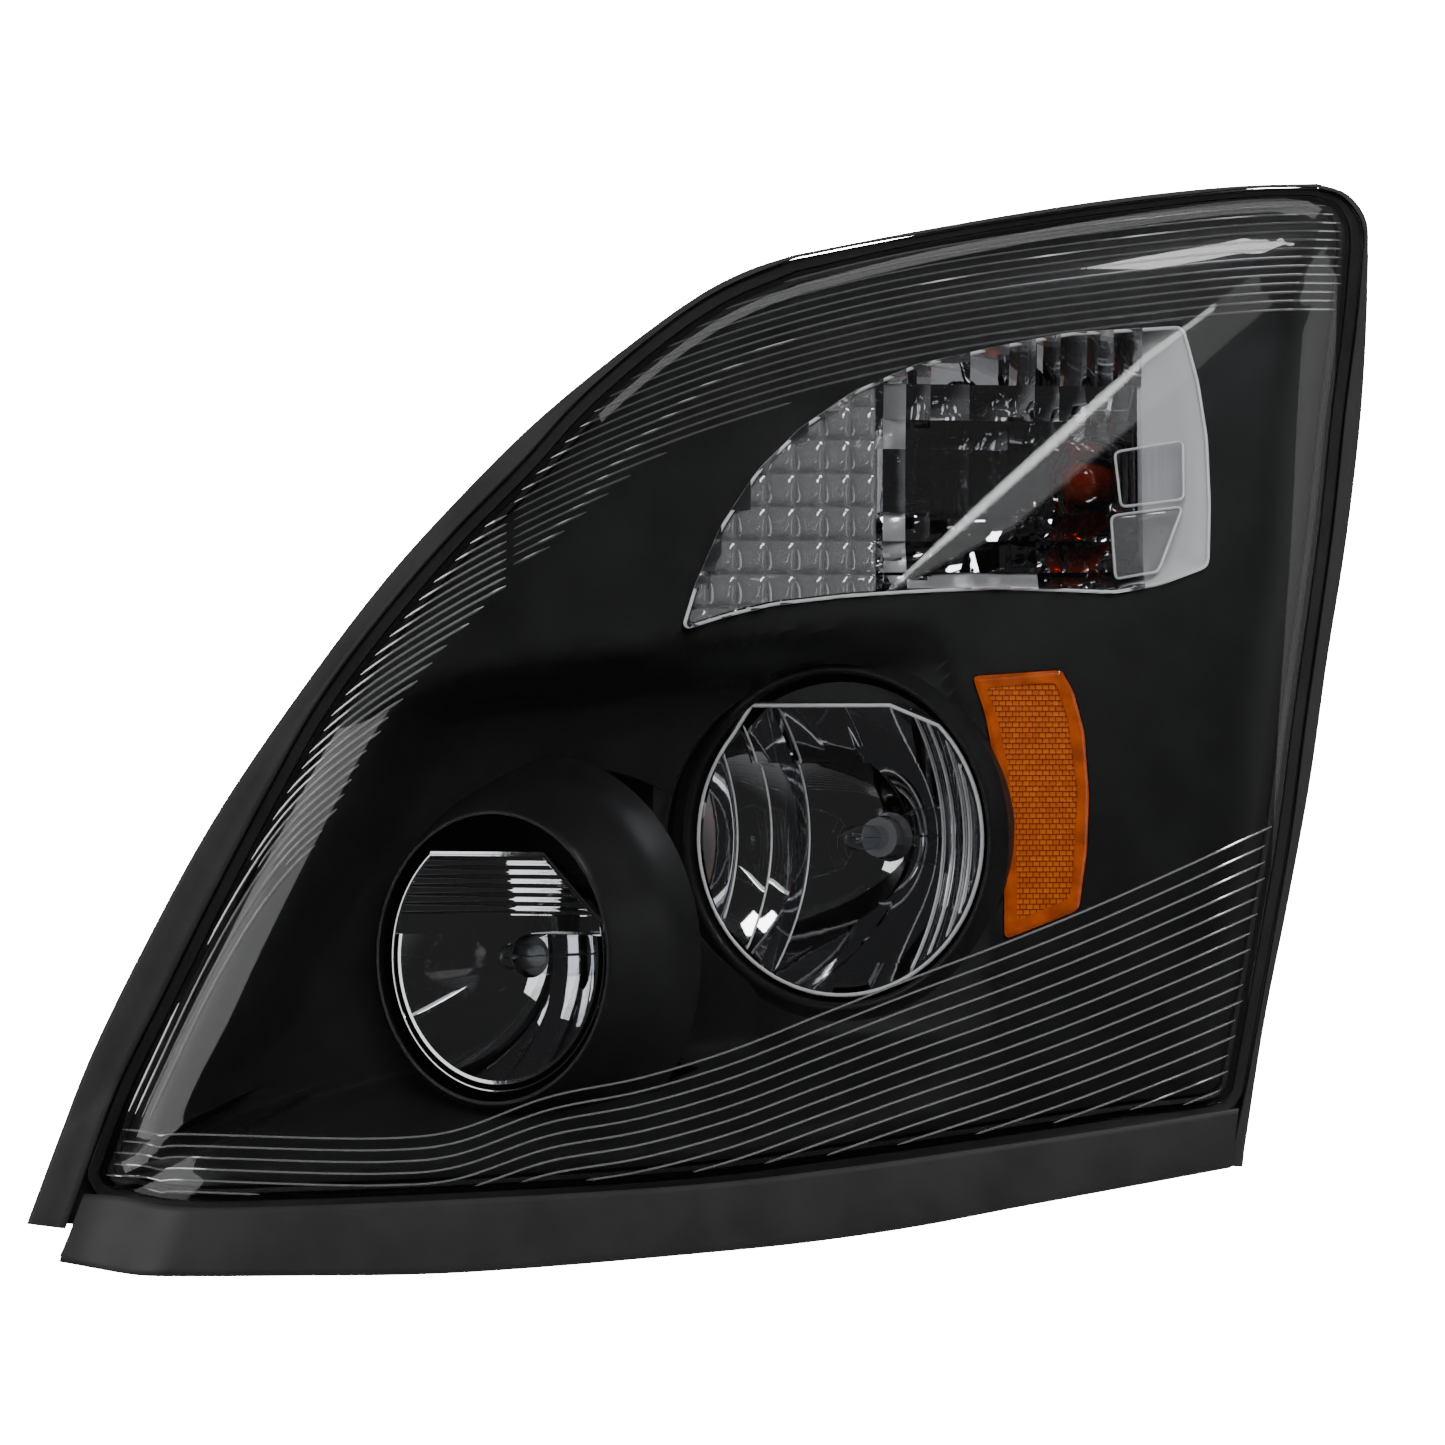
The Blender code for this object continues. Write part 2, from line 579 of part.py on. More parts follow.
def rear_housing(edge):
    def wall(i, p):
        return back_y(p.x)

    def inner_wall(i, p):
        return back_y(p.x) - HOUSING_WALL

    def flange(depth):
        made = []
        for i, p in enumerate(edge.outer):
            q = p - (p - CENTRE).normalized() * FLANGE_BACK_OFF
            made.append(Vector((q.x, edge.edge_y(i) + depth, q.y)))
        return made

    def rim(depth):
        return [Vector((p.x, edge.edge_y(i) + depth, p.y))
                for i, p in enumerate(edge.moved(i, width) for i, width in enumerate(edge.rims))]

    floor = CHANNEL_FLOOR + HOUSING_WALL
    lip = CHANNEL_INNER + CHANNEL_LIP
    inside = WALL_INSET + HOUSING_WALL
    rings = [inner_ring(edge, WALL_INSET, 0.05, wall), inner_ring(edge, WALL_INSET, 0.5, wall),
             ring(edge, WALL_INSET, wall), ring(edge, FOOT_INSET, behind_edge(edge, floor)),
             flange(FLANGE_FACE + FLANGE_THICKNESS), flange(FLANGE_FACE),
             rim(FLANGE_FACE), rim(CHANNEL_FRONT)]
    for inset, depth in ((-GAP, CHANNEL_FRONT), (-GAP, CHANNEL_FLOOR), (CHANNEL_INNER, CHANNEL_FLOOR),
                         (CHANNEL_INNER, CHANNEL_LIP_FRONT), (lip, CHANNEL_LIP_FRONT), (lip, floor)):
        rings.append(ring(edge, inset, behind_edge(edge, depth)))
    rings += [ring(edge, inside, inner_wall), inner_ring(edge, inside, 0.5, inner_wall),
              inner_ring(edge, inside, 0.05, inner_wall)]
    housing = loft("rear_housing", rings, "black_housing")

    for name, rim_at, outer, inner, seat in SERVICE_COLLARS:
        end = reach_to(rim_at, seat) - SEAL_SPACE
        combine(housing, flared(name + "_collar", rim_at, outer, 0.0, 1.0, end, BACK_WALL - OVERLAP),
                "UNION")
        combine(housing, rod(name + "_bore", inner, end - 70.0, end + 10.0, rim_at, sides=28),
                "DIFFERENCE")
    for name, (x, z) in PADS.items():
        start = back_y(x) - OVERLAP
        wide, narrow = (REAR_PAD_RADIUS, REAR_PAD_RADIUS) if name == "rear_pad" else CORNER_PAD_RADII
        leg = turned(name, [(0, start), (wide, start), (narrow, PAD_PLANE), (0, PAD_PLANE)], None,
                     (x, 0.0, z), REAR, 14, place=CUTTERS)
        combine(housing, leg, "UNION")
        if name != "rear_pad":
            combine(housing, rod(name + "_hole", STUD_RADIUS + STUD_PLAY, -18.0, 5.0, (x, 0.0, z),
                                 axis=REAR, sides=10), "DIFFERENCE")
    for n, (x, z) in enumerate(BOSSES):
        face = back_y(x)
        combine(housing, rod(f"bezel_screw_pad_{n}", SCREW_PAD_RADIUS, face - OVERLAP, face + SCREW_PAD,
                             (x, 0.0, z), axis=REAR, sides=10), "UNION")
    holes = [("vertical_hole", ADJUSTER_HOLE, VERTICAL_BALL),
             ("horizontal_hole", ADJUSTER_HOLE, HORIZONTAL_BALL),
             ("pivot_hole", PIVOT_HOLE, PIVOT), ("vent_hole", VENT_HOLE, VENT)]
    holes += [(f"bezel_screw_hole_{n}", SCREW_HOLE, Vector((x, 0.0, z))) for n, (x, z) in enumerate(BOSSES)]
    for name, radius, at in holes:
        combine(housing, rod(name, radius, -80.0, -30.0, (at.x, 0.0, at.z), axis=REAR, sides=14),
                "DIFFERENCE")
    half = Vector((CONNECTOR_HALF.x + GAP, 0.0, CONNECTOR_HALF.z + GAP))
    combine(housing, block("connector_hole", CONNECTOR - half + Vector((0.0, -80.0, 0.0)),
                           CONNECTOR + half + Vector((0.0, -40.0, 0.0))), "DIFFERENCE")
    for n, x in enumerate(TRIM_SCREWS):
        hole = rod(f"trim_screw_hole_{n}", SCREW_BORE, 5.0, 25.0, trim_screw_at(x), axis=REAR, sides=8)
        combine(housing, hole, "DIFFERENCE")


def perimeter_gasket(edge):
    """The soft strip on the flange, open along the bottom, as a run of four-cornered sections."""
    last = edge.runs["bottom"][0]
    pairs = [(Vector(GASKET_LOW_END[0]), Vector(GASKET_LOW_END[1]), 0)]
    for i in range(1, last):
        pairs.append((edge.moved(i, edge.rims[i] + 2 * GAP), edge.outer[i], i))
    pairs.append((Vector(GASKET_HIGH_END[0]), Vector(GASKET_HIGH_END[1]), last))
    sections = []
    for inner, outer, i in pairs:
        lift = 0.0 if sections else GASKET_END_LIFT
        front = edge.edge_y(i) + GASKET_FRONT - lift
        back = edge.edge_y(i) + GASKET_BACK - lift
        sections.append([Vector((inner.x, front, inner.y)), Vector((outer.x, front + GASKET_FALL, outer.y)),
                         Vector((outer.x, back, outer.y)), Vector((inner.x, back, inner.y))])
    loft("perimeter_gasket", sections, "black_rubber")


def trim_face_y(x, z):
    """The front of the bar below the lens, just proud of the lens edge."""
    return lens_depth(x, z) + TRIM_PROUD + LOW_CORNER_ROLL * smoothstep(*LOW_CORNER, x) - TRIM_WALL - GAP


def trim_screw_at(x):
    """A screw's place on the flange below the lens, on the plane of the lens edge."""
    top = min(TRIM_TOP, key=lambda p: abs(p[0] - x))
    return Vector((x, trim_face_y(x, top[1]) + TRIM_WALL + GAP, top[1] - TRIM_SCREW_BELOW))


def lower_trim_bar():
    tops = spline(TRIM_TOP, 0, 24)
    bottoms = spline(TRIM_BOTTOM, 0, 24)
    sections = []
    for top, bottom in zip(tops, bottoms):
        face = trim_face_y(top.x, top.y)
        section = [(top, 0.0), (bottom, 0.0), (bottom, TRIM_RETURN),
                   (bottom + Vector((0.0, TRIM_WALL)), TRIM_RETURN),
                   (bottom + Vector((0.0, TRIM_WALL)), TRIM_WALL), (top, TRIM_WALL)]
        sections.append([Vector((p.x, face + depth, p.y)) for p, depth in section])
    bar = loft("lower_trim_bar", sections, "black_trim")
    for n, x in enumerate(TRIM_SCREWS):
        at = trim_screw_at(x)
        combine(bar, rod(f"trim_boss_{n}", 4.0, -2.0, FLANGE_FACE - 3.4, at, axis=REAR, sides=10), "UNION")
        combine(bar, rod(f"trim_boss_bore_{n}", 1.8, 1.0, 30.0, at, axis=REAR, sides=8), "DIFFERENCE")


def screw(name, at, head_start, toward, length=9.0, radius=1.5, head=3.4):
    """A small pan-head screw along Y. Its head starts at head_start and it points toward -1 or +1."""
    tip = head_start + toward * length
    top = head_start - toward * 2.4
    profile = [(0, tip), (radius, tip - toward * 1.0), (radius, head_start), (head, head_start),
               (head * 0.8, top), (0, top)]
    turned(name, profile, "zinc_steel", at, REAR, 8)


# Bezel ----------------------------------------------------------------------------------------


def valley_y(x):
    """The recessed floor behind the two beams, square to the lamps around the low beam."""
    return min(VALLEY_DEEPEST, LOW_RIM.y - math.tan(SWEEP) * (x - LOW_RIM.x))


def bezel_y(x, z, inset=VALLEY_RISE[1], roll=0.0):
    """The front of the bezel at a point, inset from the lens edge, with the lens's shoulder behind it."""
    near = lens_depth(x, z) + BEZEL_BEHIND_LENS + roll
    brow = BROW_AT + BROW_SLOPE * x
    share = smoothstep(*VALLEY_RISE, inset) * (1.0 - smoothstep(brow - BROW_DROP, brow + BROW_RISE, z))
    return near + share * max(0.0, valley_y(x) - near)


def inner_bezel(edge):
    def skin(behind):
        made = []
        for inset in (7.0, 15.0, 25.0, 36.0):
            made.append(ring(edge, inset, lambda i, p, inset=inset: bezel_y(
                p.x, p.y, inset, edge.drops[i] * max(0.0, 1.0 - inset / SHOULDER) ** 2) + behind))
        for share in (0.86, 0.72, 0.57, 0.42, 0.26, 0.08):
            made.append(inner_ring(edge, 36.0, share, lambda i, p: bezel_y(p.x, p.y) + behind))
        return made

    bezel = loft("inner_bezel", skin(0.0)[::-1] + skin(BEZEL_WALL), "black_bezel")
    floor = VALLEY_DEEPEST + 1.0
    hood = flared("hood_outside", HIGH_RIM, HOOD_RADIUS + HOOD_WALL, HOOD_FLARE, HIGH_SQUEEZE, 0.0, floor)
    inside = flared("hood_inside", HIGH_RIM, HOOD_RADIUS, HOOD_FLARE, HIGH_SQUEEZE, -12.0, floor + 12.0)
    combine(bezel, rod("low_opening", LOW_OPENING, -70.0, 36.0, LOW_RIM, sides=36), "DIFFERENCE")
    combine(bezel, prism("turn_opening", scaled_outline(TURN_OUTLINE, 0.8), -215.0, -90.0), "DIFFERENCE")
    combine(bezel, prism("reflex_opening", scaled_outline(REFLEX_OUTLINE, 0.5), -215.0, -120.0),
            "DIFFERENCE")
    combine(bezel, hood, "UNION")
    combine(bezel, inside, "DIFFERENCE")
    for n, (x, z) in enumerate(BOSSES):
        start = bezel_y(x, z) + 1.2
        end = back_y(x) - HOUSING_WALL - GAP
        combine(bezel, rod(f"bezel_boss_{n}", 5.0, start, end, (x, 0.0, z), axis=REAR, sides=10), "UNION")
        combine(bezel, rod(f"bezel_boss_bore_{n}", SCREW_BORE, end - 14.0, end + 5.0, (x, 0.0, z), axis=REAR,
                           sides=8), "DIFFERENCE")


def reflex_reflector():
    def front(x, z):
        return bezel_y(x, z) - 1.2

    def back(x, z):
        return bezel_y(x, z) + BEZEL_WALL + 1.5

    prism("reflex_reflector", REFLEX_OUTLINE, front, back, "amber", PARTS)


# Turn signal ----------------------------------------------------------------------------------


def turn_depth(rim, share):
    """Y of the turn bowl at that share of the way from its vertex to a point of its rim."""
    front = bezel_y(*rim) - TURN_STANDS_PROUD
    return TURN_VERTEX.y + (front - TURN_VERTEX.y) * share**TURN_CURVE


def turn_y(x, z):
    """Y of the turn bowl's mirror above a point, from the rim point on the same ray."""
    middle = Vector((TURN_VERTEX.x, TURN_VERTEX.z))
    at = Vector((x, z)) - middle
    best = min(turn_rim(), key=lambda p: (p - middle).angle(at))
    return turn_depth(best, min(1.0, at.length / (best - middle).length))


def turn_rim():
    """Points along the turn signal's outline, its corners kept."""
    made = []
    for a, b in zip(TURN_OUTLINE, TURN_OUTLINE[1:] + TURN_OUTLINE[:1]):
        steps = max(1, round((Vector(b) - Vector(a)).length / 24.0))
        made += [Vector(a).lerp(Vector(b), k / steps) for k in range(steps)]
    return made


def turn_reflector():
    middle = Vector((TURN_VERTEX.x, TURN_VERTEX.z))

    def row(share, behind):
        made = []
        for rim in turn_rim():
            hole = middle + (rim - middle).normalized() * TURN_HOLE
            p = hole.lerp(rim, share)
            y = turn_depth(rim, (p - middle).length / (rim - middle).length)
            made.append(Vector((p.x, y + behind, p.y)))
        return made

    shares = (1.0, 0.8, 0.6, 0.4, 0.2, 0.0)
    rows = [row(share, 0.0) for share in shares] + [row(share, TURN_WALL) for share in shares[::-1]]
    loft("turn_reflector", rows, "chrome", closed_ends=False)


def height_at(line, x):
    """Z at x of a line of (x, z) points that runs outboard."""
    for one, two in zip(line, line[1:]):
        if x <= two.x:
            return one.lerp(two, max(0.0, (x - one.x) / (two.x - one.x))).y
    return line[-1].y


def pillow_optic():
    """The clear plate over the turn signal, pillowed inboard, which stops short of the outboard wall."""
    border = scaled_outline(TURN_OUTLINE, -PILLOW_INSET)
    top = border[:TURN_TOP_CORNER + 1]
    bottom = [border[0], *border[:TURN_LOW_CORNER - 1:-1]]
    start = border[0].x + 2.0
    sections = []
    for k in range(PILLOW_COLUMNS + 1):
        x = start + (PILLOW_END - start) * k / PILLOW_COLUMNS
        low, high = height_at(bottom, x), height_at(top, x)
        heights = [low + (high - low) * j / PILLOW_ROWS for j in range(PILLOW_ROWS + 1)]
        face = [Vector((x, lens_depth(x, z) + BEZEL_BEHIND_LENS - PILLOW_PROUD, z)) for z in heights]
        sections.append(face + [p + REAR * PILLOW_THICKNESS for p in face[::-1]])
    loft("pillow_optic", sections, "clear_optic")


def side_optics():
    """The ribbed wedge and the block beside the bulb, which stand on the turn bowl."""
    def front(x, z):
        return bezel_y(x, z) + 4.0

    def back(x, z):
        return turn_y(x, z) - 2.0

    for name, outline in (("side_prism", SIDE_PRISM), ("side_block", SIDE_BLOCK)):
        prism(name, outline, front, back, "clear_optic", PARTS)


def turn_bulb_and_holder():
    seat = reach_to(TURN_VERTEX, TURN_SEAT)
    glass = TURN_GLASS
    nose = [(glass * math.sin(math.radians(a)), -18.0 - glass * math.cos(math.radians(a)))
            for a in range(0, 91, 15)]
    turned("turn_bulb", nose + [(glass, 4.0), (8.8, 8.0), (8.8, 18.0), (0, 18.0)], "amber",
           TURN_VERTEX, sides=16)
    holder = turned("turn_bulb_holder", [(9.2, 12.0), (15.0, 12.0), (15.0, seat + GAP), (20.0, seat + GAP),
                                         (20.0, seat + 3.4), (0, seat + 3.4), (0, 18.5), (9.2, 18.5)],
                    "grey_plastic", TURN_VERTEX, sides=20)
    grip = lamp_prism("holder_grip", [(-13, -4), (13, -4), (13, 4), (-13, 4)], seat + 2.0, seat + 13.0,
                      TURN_VERTEX)
    combine(holder, grip, "UNION")
    turned("turn_holder_seal", [(16.4, seat - SEAL_SPACE + GAP), (18.6, seat - SEAL_SPACE + GAP),
                                (18.6, seat), (16.4, seat)], "orange_silicone", TURN_VERTEX, sides=20)


# Beams ----------------------------------------------------------------------------------------


def paraboloid(name, at, radius, depth, wall, squeeze, slot=None, place=CUTTERS):
    """A solid bowl shape that stands wall outside the mirror, from in front of its rim to its vertex."""
    def out(distance):
        return radius * math.sqrt(max(0.0, 1.0 - distance / depth)) if distance < depth else 0.0

    steps = [-0.25, 0.0, 0.25, 0.5, 0.75, 0.93]
    profile = [(0, steps[0] * depth)] + [(out(s * depth) + wall, s * depth) for s in steps]
    profile += [(wall, depth + wall), (0, depth + wall)] if wall else [(0, depth)]
    return turned(name, profile, slot, at, sides=28, squeeze=squeeze, place=place)


def clipped_rim(radius, squeeze, left, right, chamfers):
    """The rim outline in (sideways, up): a round rim whose top is cut by chamfers, left to right."""
    start, stop = math.radians(right), math.radians(left) - math.tau
    arc = []
    for k in range(25):
        angle = start + (stop - start) * k / 24
        arc.append((radius * squeeze * math.cos(angle), radius * math.sin(angle)))
    return arc + chamfers


def low_reflector():
    outline = clipped_rim(75.5, 1.0, 139.0, 46.0, [(-47.0, LOW_FLAT), (27.0, LOW_FLAT)])
    bowl = paraboloid("low_beam_reflector", LOW_RIM, LOW_RADIUS, LOW_DEPTH, BOWL_WALL, 1.0, "chrome", PARTS)
    combine(bowl, lamp_prism("low_rim_cut", outline, 0.0, 70.0, LOW_RIM), "INTERSECT")
    combine(bowl, rod("low_flange", 77.0, 16.0, 18.0, LOW_RIM, sides=28), "UNION")
    hollow = paraboloid("low_hollow", LOW_RIM, LOW_RADIUS, LOW_DEPTH, 0.0, 1.0)
    combine(hollow, lamp_prism("low_hollow_cut", scaled_outline(outline, -BOWL_WALL), -8.0, 70.0, LOW_RIM),
            "INTERSECT")
    combine(bowl, hollow, "DIFFERENCE")
    combine(bowl, rod("low_bulb_hole", BULB_HOLE, 30.0, 70.0, LOW_RIM, sides=24), "DIFFERENCE")
    return bowl


def high_reflector():
    outline = clipped_rim(HIGH_RADIUS, HIGH_SQUEEZE, 130.0, 15.0, [(-36.0, HIGH_FLAT), (24.0, HIGH_FLAT)])
    bowl = paraboloid("high_beam_reflector", HIGH_RIM, HIGH_RADIUS, HIGH_DEPTH, BOWL_WALL, HIGH_SQUEEZE,
                      "chrome", PARTS)
    combine(bowl, lamp_prism("high_rim_cut", outline, HIGH_SET_BACK, 70.0, HIGH_RIM), "INTERSECT")
    combine(bowl, rod("high_neck", 22.0, 38.0, HIGH_FLANGE, HIGH_RIM), "UNION")
    combine(bowl, rod("high_flange", 46.0, HIGH_FLANGE - 3.0, HIGH_FLANGE, HIGH_RIM, sides=28), "UNION")
    hollow = paraboloid("high_hollow", HIGH_RIM, HIGH_RADIUS, HIGH_DEPTH, 0.0, HIGH_SQUEEZE)
    combine(hollow, lamp_prism("high_hollow_cut", scaled_outline(outline, -BOWL_WALL), -8.0, 70.0, HIGH_RIM),
            "INTERSECT")
    combine(bowl, hollow, "DIFFERENCE")
    combine(bowl, rod("high_bulb_hole", BULB_HOLE, 30.0, 70.0, HIGH_RIM, sides=24), "DIFFERENCE")
    return bowl


def beam_bulb(name, at, seat):
    """A two-pin bulb: a plastic base whose flange seats at seat, and its glass in front."""
    neck = seat - BULB_NECK
    turned(name + "_base", [(0, neck), (BULB_HOLE - BULB_PLAY, neck), (BULB_HOLE - BULB_PLAY, seat),
                            (17.0, seat), (17.0, seat + 4.0), (13.0, seat + 4.0), (13.0, seat + 18.0),
                            (9.0, seat + 18.0), (9.0, seat + 30.0), (0, seat + 30.0)],
           "grey_plastic", at, sides=16)
    tip = neck - GAP
    turned(name + "_glass", [(0, tip), (6.0, tip), (6.0, tip - 30.0), (4.5, tip - 34.0), (0, tip - 36.0)],
           "bulb_glass", at, sides=12)


def post_places(radius):
    """Three places around a lamp's axis, in (sideways, up)."""
    return [(radius * math.cos(math.radians(a)), radius * math.sin(math.radians(a)))
            for a in (90.0, 210.0, 330.0)]


def reflector_carrier():
    carrier = prism("reflector_carrier", CARRIER_OUTLINE, CARRIER_FRONT, CARRIER_BACK, "black_housing", PARTS)
    middle = 0.5 * (CARRIER_FRONT + CARRIER_BACK)
    for name, rim, radius, front, hole in MOUNTINGS:
        at = along_axis(rim, reach_to(rim, middle))
        combine(carrier, rod(f"{name}_carrier_hole", hole, -20.0, 20.0, (at.x, middle, at.z), axis=REAR,
                             sides=24), "DIFFERENCE")
        for n, (s, u) in enumerate(post_places(radius)):
            foot = rim + SIDEWAYS * s + UP * u
            post = rod(f"{name}_post_{n}", 4.0, front + GAP, reach_to(foot, middle), foot, sides=8)
            combine(carrier, post, "UNION")
            bore = rod(f"{name}_post_bore_{n}", SCREW_BORE, front - 2.0, front + 10.0, foot, sides=8)
            combine(carrier, bore, "DIFFERENCE")
    for name, at in (("pivot", PIVOT), ("vertical", VERTICAL_BALL), ("horizontal", HORIZONTAL_BALL)):
        seat = rod(f"{name}_socket_hole", SOCKET_RADIUS + 0.4, -20.0, 20.0, at, axis=REAR, sides=16)
        combine(carrier, seat, "DIFFERENCE")


def reflector_screws(low, high):
    """Three screws for each bowl, through its flange into the carrier's posts."""
    for (name, rim, radius, front, _), bowl, thickness in ((MOUNTINGS[0], low, 2.0),
                                                            (MOUNTINGS[1], high, 3.0)):
        for n, (s, u) in enumerate(post_places(radius)):
            foot = rim + SIDEWAYS * s + UP * u
            combine(bowl, rod(f"{name}_flange_hole_{n}", SCREW_BORE, front - 6.0, front + 2.0, foot, sides=8),
                    "DIFFERENCE")
            face = front - thickness - 0.3
            turned(f"{name}_reflector_screw_{n + 1}",
                   [(0, face - 2.2), (2.6, face - 2.2), (3.1, face), (1.5, face), (1.5, front + 8.0),
                    (0, front + 9.0)], "zinc_steel", foot, sides=8)


# Aiming ---------------------------------------------------------------------------------------


def ball_socket(name, at):
    """A snap-in cup, open to the rear, whose mouth is a little narrower than the ball."""
    pocket = BALL_RADIUS + SOCKET_PLAY
    arc = [(pocket * math.sin(math.radians(a)), -pocket * math.cos(math.radians(a)))
           for a in range(112, -1, -28)]
    profile = [(0, -8.6), (SOCKET_RADIUS, -8.6), (SOCKET_RADIUS, 8.0), (7.6, 8.0), *arc]
    turned(name, profile, "white_nylon", at, REAR, 14)


def ball_profile(radius, shank):
    """The ball's half outline from its pole to where the shank leaves it."""
    last = 180.0 - math.degrees(math.asin(shank / radius))
    return [(radius * math.sin(math.radians(last * k / 5)), -radius * math.cos(math.radians(last * k / 5)))
            for k in range(6)]


def pivot_stud():
    wall = BACK_WALL - HOUSING_WALL - PIVOT.y
    turned("pivot_ball_stud", ball_profile(BALL_RADIUS, 3.5)
           + [(3.5, wall - 3.4), (9.0, wall - 3.4), (9.0, wall - GAP), (3.6, wall - GAP), (3.6, wall + 10.0),
              (0, wall + 10.0)], "zinc_steel", PIVOT, REAR, 14)
    outside = wall + HOUSING_WALL + GAP
    turned("pivot_nut", [(4.6, outside), (7.5, outside), (7.5, outside + 5.0), (4.6, outside + 5.0)],
           "zinc_steel", PIVOT, REAR, 6)


def adjuster(name, ball):
    """A screw jack through the rear wall: fixed guide, sliding ball rod, turning screw and its knob."""
    wall = BACK_WALL - ball.y
    turned(name + "_adjuster_housing",
           [(5.0, wall - 7.0), (11.0, wall - 7.0), (11.0, wall + GAP), (16.0, wall + GAP),
            (16.0, wall + 3.4), (11.0, wall + 3.4), (11.0, wall + 24.0), (5.0, wall + 24.0)],
           "grey_plastic", ball, REAR, 16)
    end = 35.0
    turned(name + "_ball_rod", ball_profile(BALL_RADIUS, 4.4)
           + [(4.4, end), (2.9, end), (2.9, 12.0), (0, 12.0)], "white_nylon", ball, REAR, 14)
    turned(name + "_adjuster_screw", [(0, 20.0), (2.5, 21.0), (2.5, wall + 33.0), (0, wall + 33.0)],
           "zinc_steel", ball, REAR, 12)
    face = wall + 24.4
    turned(name + "_adjuster_knob",
           [(2.8, face), (9.0, face), (9.0, face + 10.0), (7.5, face + 11.5), (0, face + 11.5),
            (0, wall + 33.5), (2.8, wall + 33.5)], "white_nylon", ball, REAR, 12)


# Rear fittings ---------------------------------------------------------------------------------


def service_cap(name, rim):
    """A twist-off cap over a collar, and the ring that seals it."""
    seat = reach_to(rim, CAP_SEAT)
    inside = COLLAR_RADIUS + CAP_PLAY
    lip = seat - CAP_SKIRT
    top = seat + CAP_TOP
    cap = turned(name + "_service_cap",
                 [(0, seat + GAP), (inside, seat + GAP), (inside, lip), (CAP_RADIUS, lip),
                  (CAP_RADIUS, top - CAP_CHAMFER), (CAP_RADIUS - CAP_CHAMFER, top), (0, top)],
                 "black_housing", rim, sides=28)
    bar = lamp_prism(name + "_cap_grip", [(-28, -5), (28, -5), (28, 5), (-28, 5)], seat + 2.0, seat + 11.0,
                     rim)
    combine(cap, bar, "UNION")
    inner = COLLAR_RADIUS - COLLAR_WALL + GAP
    outer = COLLAR_RADIUS - GAP
    front = seat - SEAL_SPACE + GAP
    turned(name + "_cap_seal", [(inner, front), (outer, front), (outer, seat), (inner, seat)],
           "orange_silicone", rim, sides=28)


def rear_fittings():
    turned("vent_cap", [(0, -66.0), (5.0, -66.0), (5.0, -59.6), (10.0, -59.6), (10.0, -50.0), (8.5, -48.5),
                        (0, -48.5)], "black_rubber", VENT, REAR, 14)
    low = CONNECTOR - CONNECTOR_HALF
    high = CONNECTOR + CONNECTOR_HALF
    socket = block("wiring_connector", (low.x, -72.0, low.z), (high.x, -42.0, high.z), "grey_plastic", PARTS)
    inset = Vector((2.5, 0.0, 2.5))
    low += inset
    high -= inset
    combine(socket, block("connector_socket", (low.x, -56.0, low.z), (high.x, -35.0, high.z)), "DIFFERENCE")
    for name, (x, z) in PADS.items():
        if name != "rear_pad":
            turned(name.replace("pad", "stud"), [(0, -17.0), (STUD_RADIUS, -17.0), (STUD_RADIUS, 23.0),
                                                 (STUD_RADIUS - 1.2, 25.0), (0, 25.0)],
                   "zinc_steel", (x, 0.0, z), REAR, 12)
    for n, (x, z) in enumerate(BOSSES):
        screw(f"bezel_screw_{n + 1}", (x, 0.0, z), back_y(x) + SCREW_PAD + GAP, -1.0, 19.0)
    for n, x in enumerate(TRIM_SCREWS):
        at = trim_screw_at(x)
        screw(f"trim_screw_{n + 1}", at, TRIM_SCREW_SEAT, -1.0, 15.0, head=3.0)


def pivot_empty(name, at, pieces):
    """An empty on a joint's axis, which carries the pieces that turn or slide there."""
    empty = bpy.data.objects.new(name, None)
    bpy.data.collections[PARTS].objects.link(empty)
    empty.location = Vector(at) * MM
    for piece in pieces:
        obj = bpy.data.objects[piece]
        world = obj.matrix_world.copy()
        obj.parent = empty
        obj.matrix_parent_inverse = Matrix.Translation(-Vector(at) * MM)
        obj.matrix_basis = world


def main():
    clear_scene()
    collection(PARTS)
    collection(CUTTERS)
    edge = Edge()
    rear_housing(edge)
    front_lens(edge)
    lens_seal_bead(edge)
    perimeter_gasket(edge)
    lower_trim_bar()
    inner_bezel(edge)
    reflex_reflector()
    turn_reflector()
    pillow_optic()
    side_optics()
    turn_bulb_and_holder()
    low = low_reflector()
    high = high_reflector()
    reflector_carrier()
    reflector_screws(low, high)
    beam_bulb("low_bulb", LOW_RIM, LOW_BULB_SEAT)
    beam_bulb("high_bulb", HIGH_RIM, HIGH_FLANGE + GAP)
    pivot_stud()
    for name, at in (("pivot", PIVOT), ("vertical", VERTICAL_BALL), ("horizontal", HORIZONTAL_BALL)):
        ball_socket(name + "_socket", at)
    adjuster("vertical", VERTICAL_BALL)
    adjuster("horizontal", HORIZONTAL_BALL)
    service_cap("low", LOW_RIM)
    service_cap("high", HIGH_RIM)
    rear_fittings()
    screws = [f"{name}_reflector_screw_{n}" for name in ("low", "high") for n in (1, 2, 3)]
    pivot_empty("aim_pivot", PIVOT, ["reflector_carrier", "low_beam_reflector", "high_beam_reflector",
                                     "vertical_socket", "horizontal_socket", *screws])


main()
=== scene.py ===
import json
import math
import random
from bisect import bisect_right

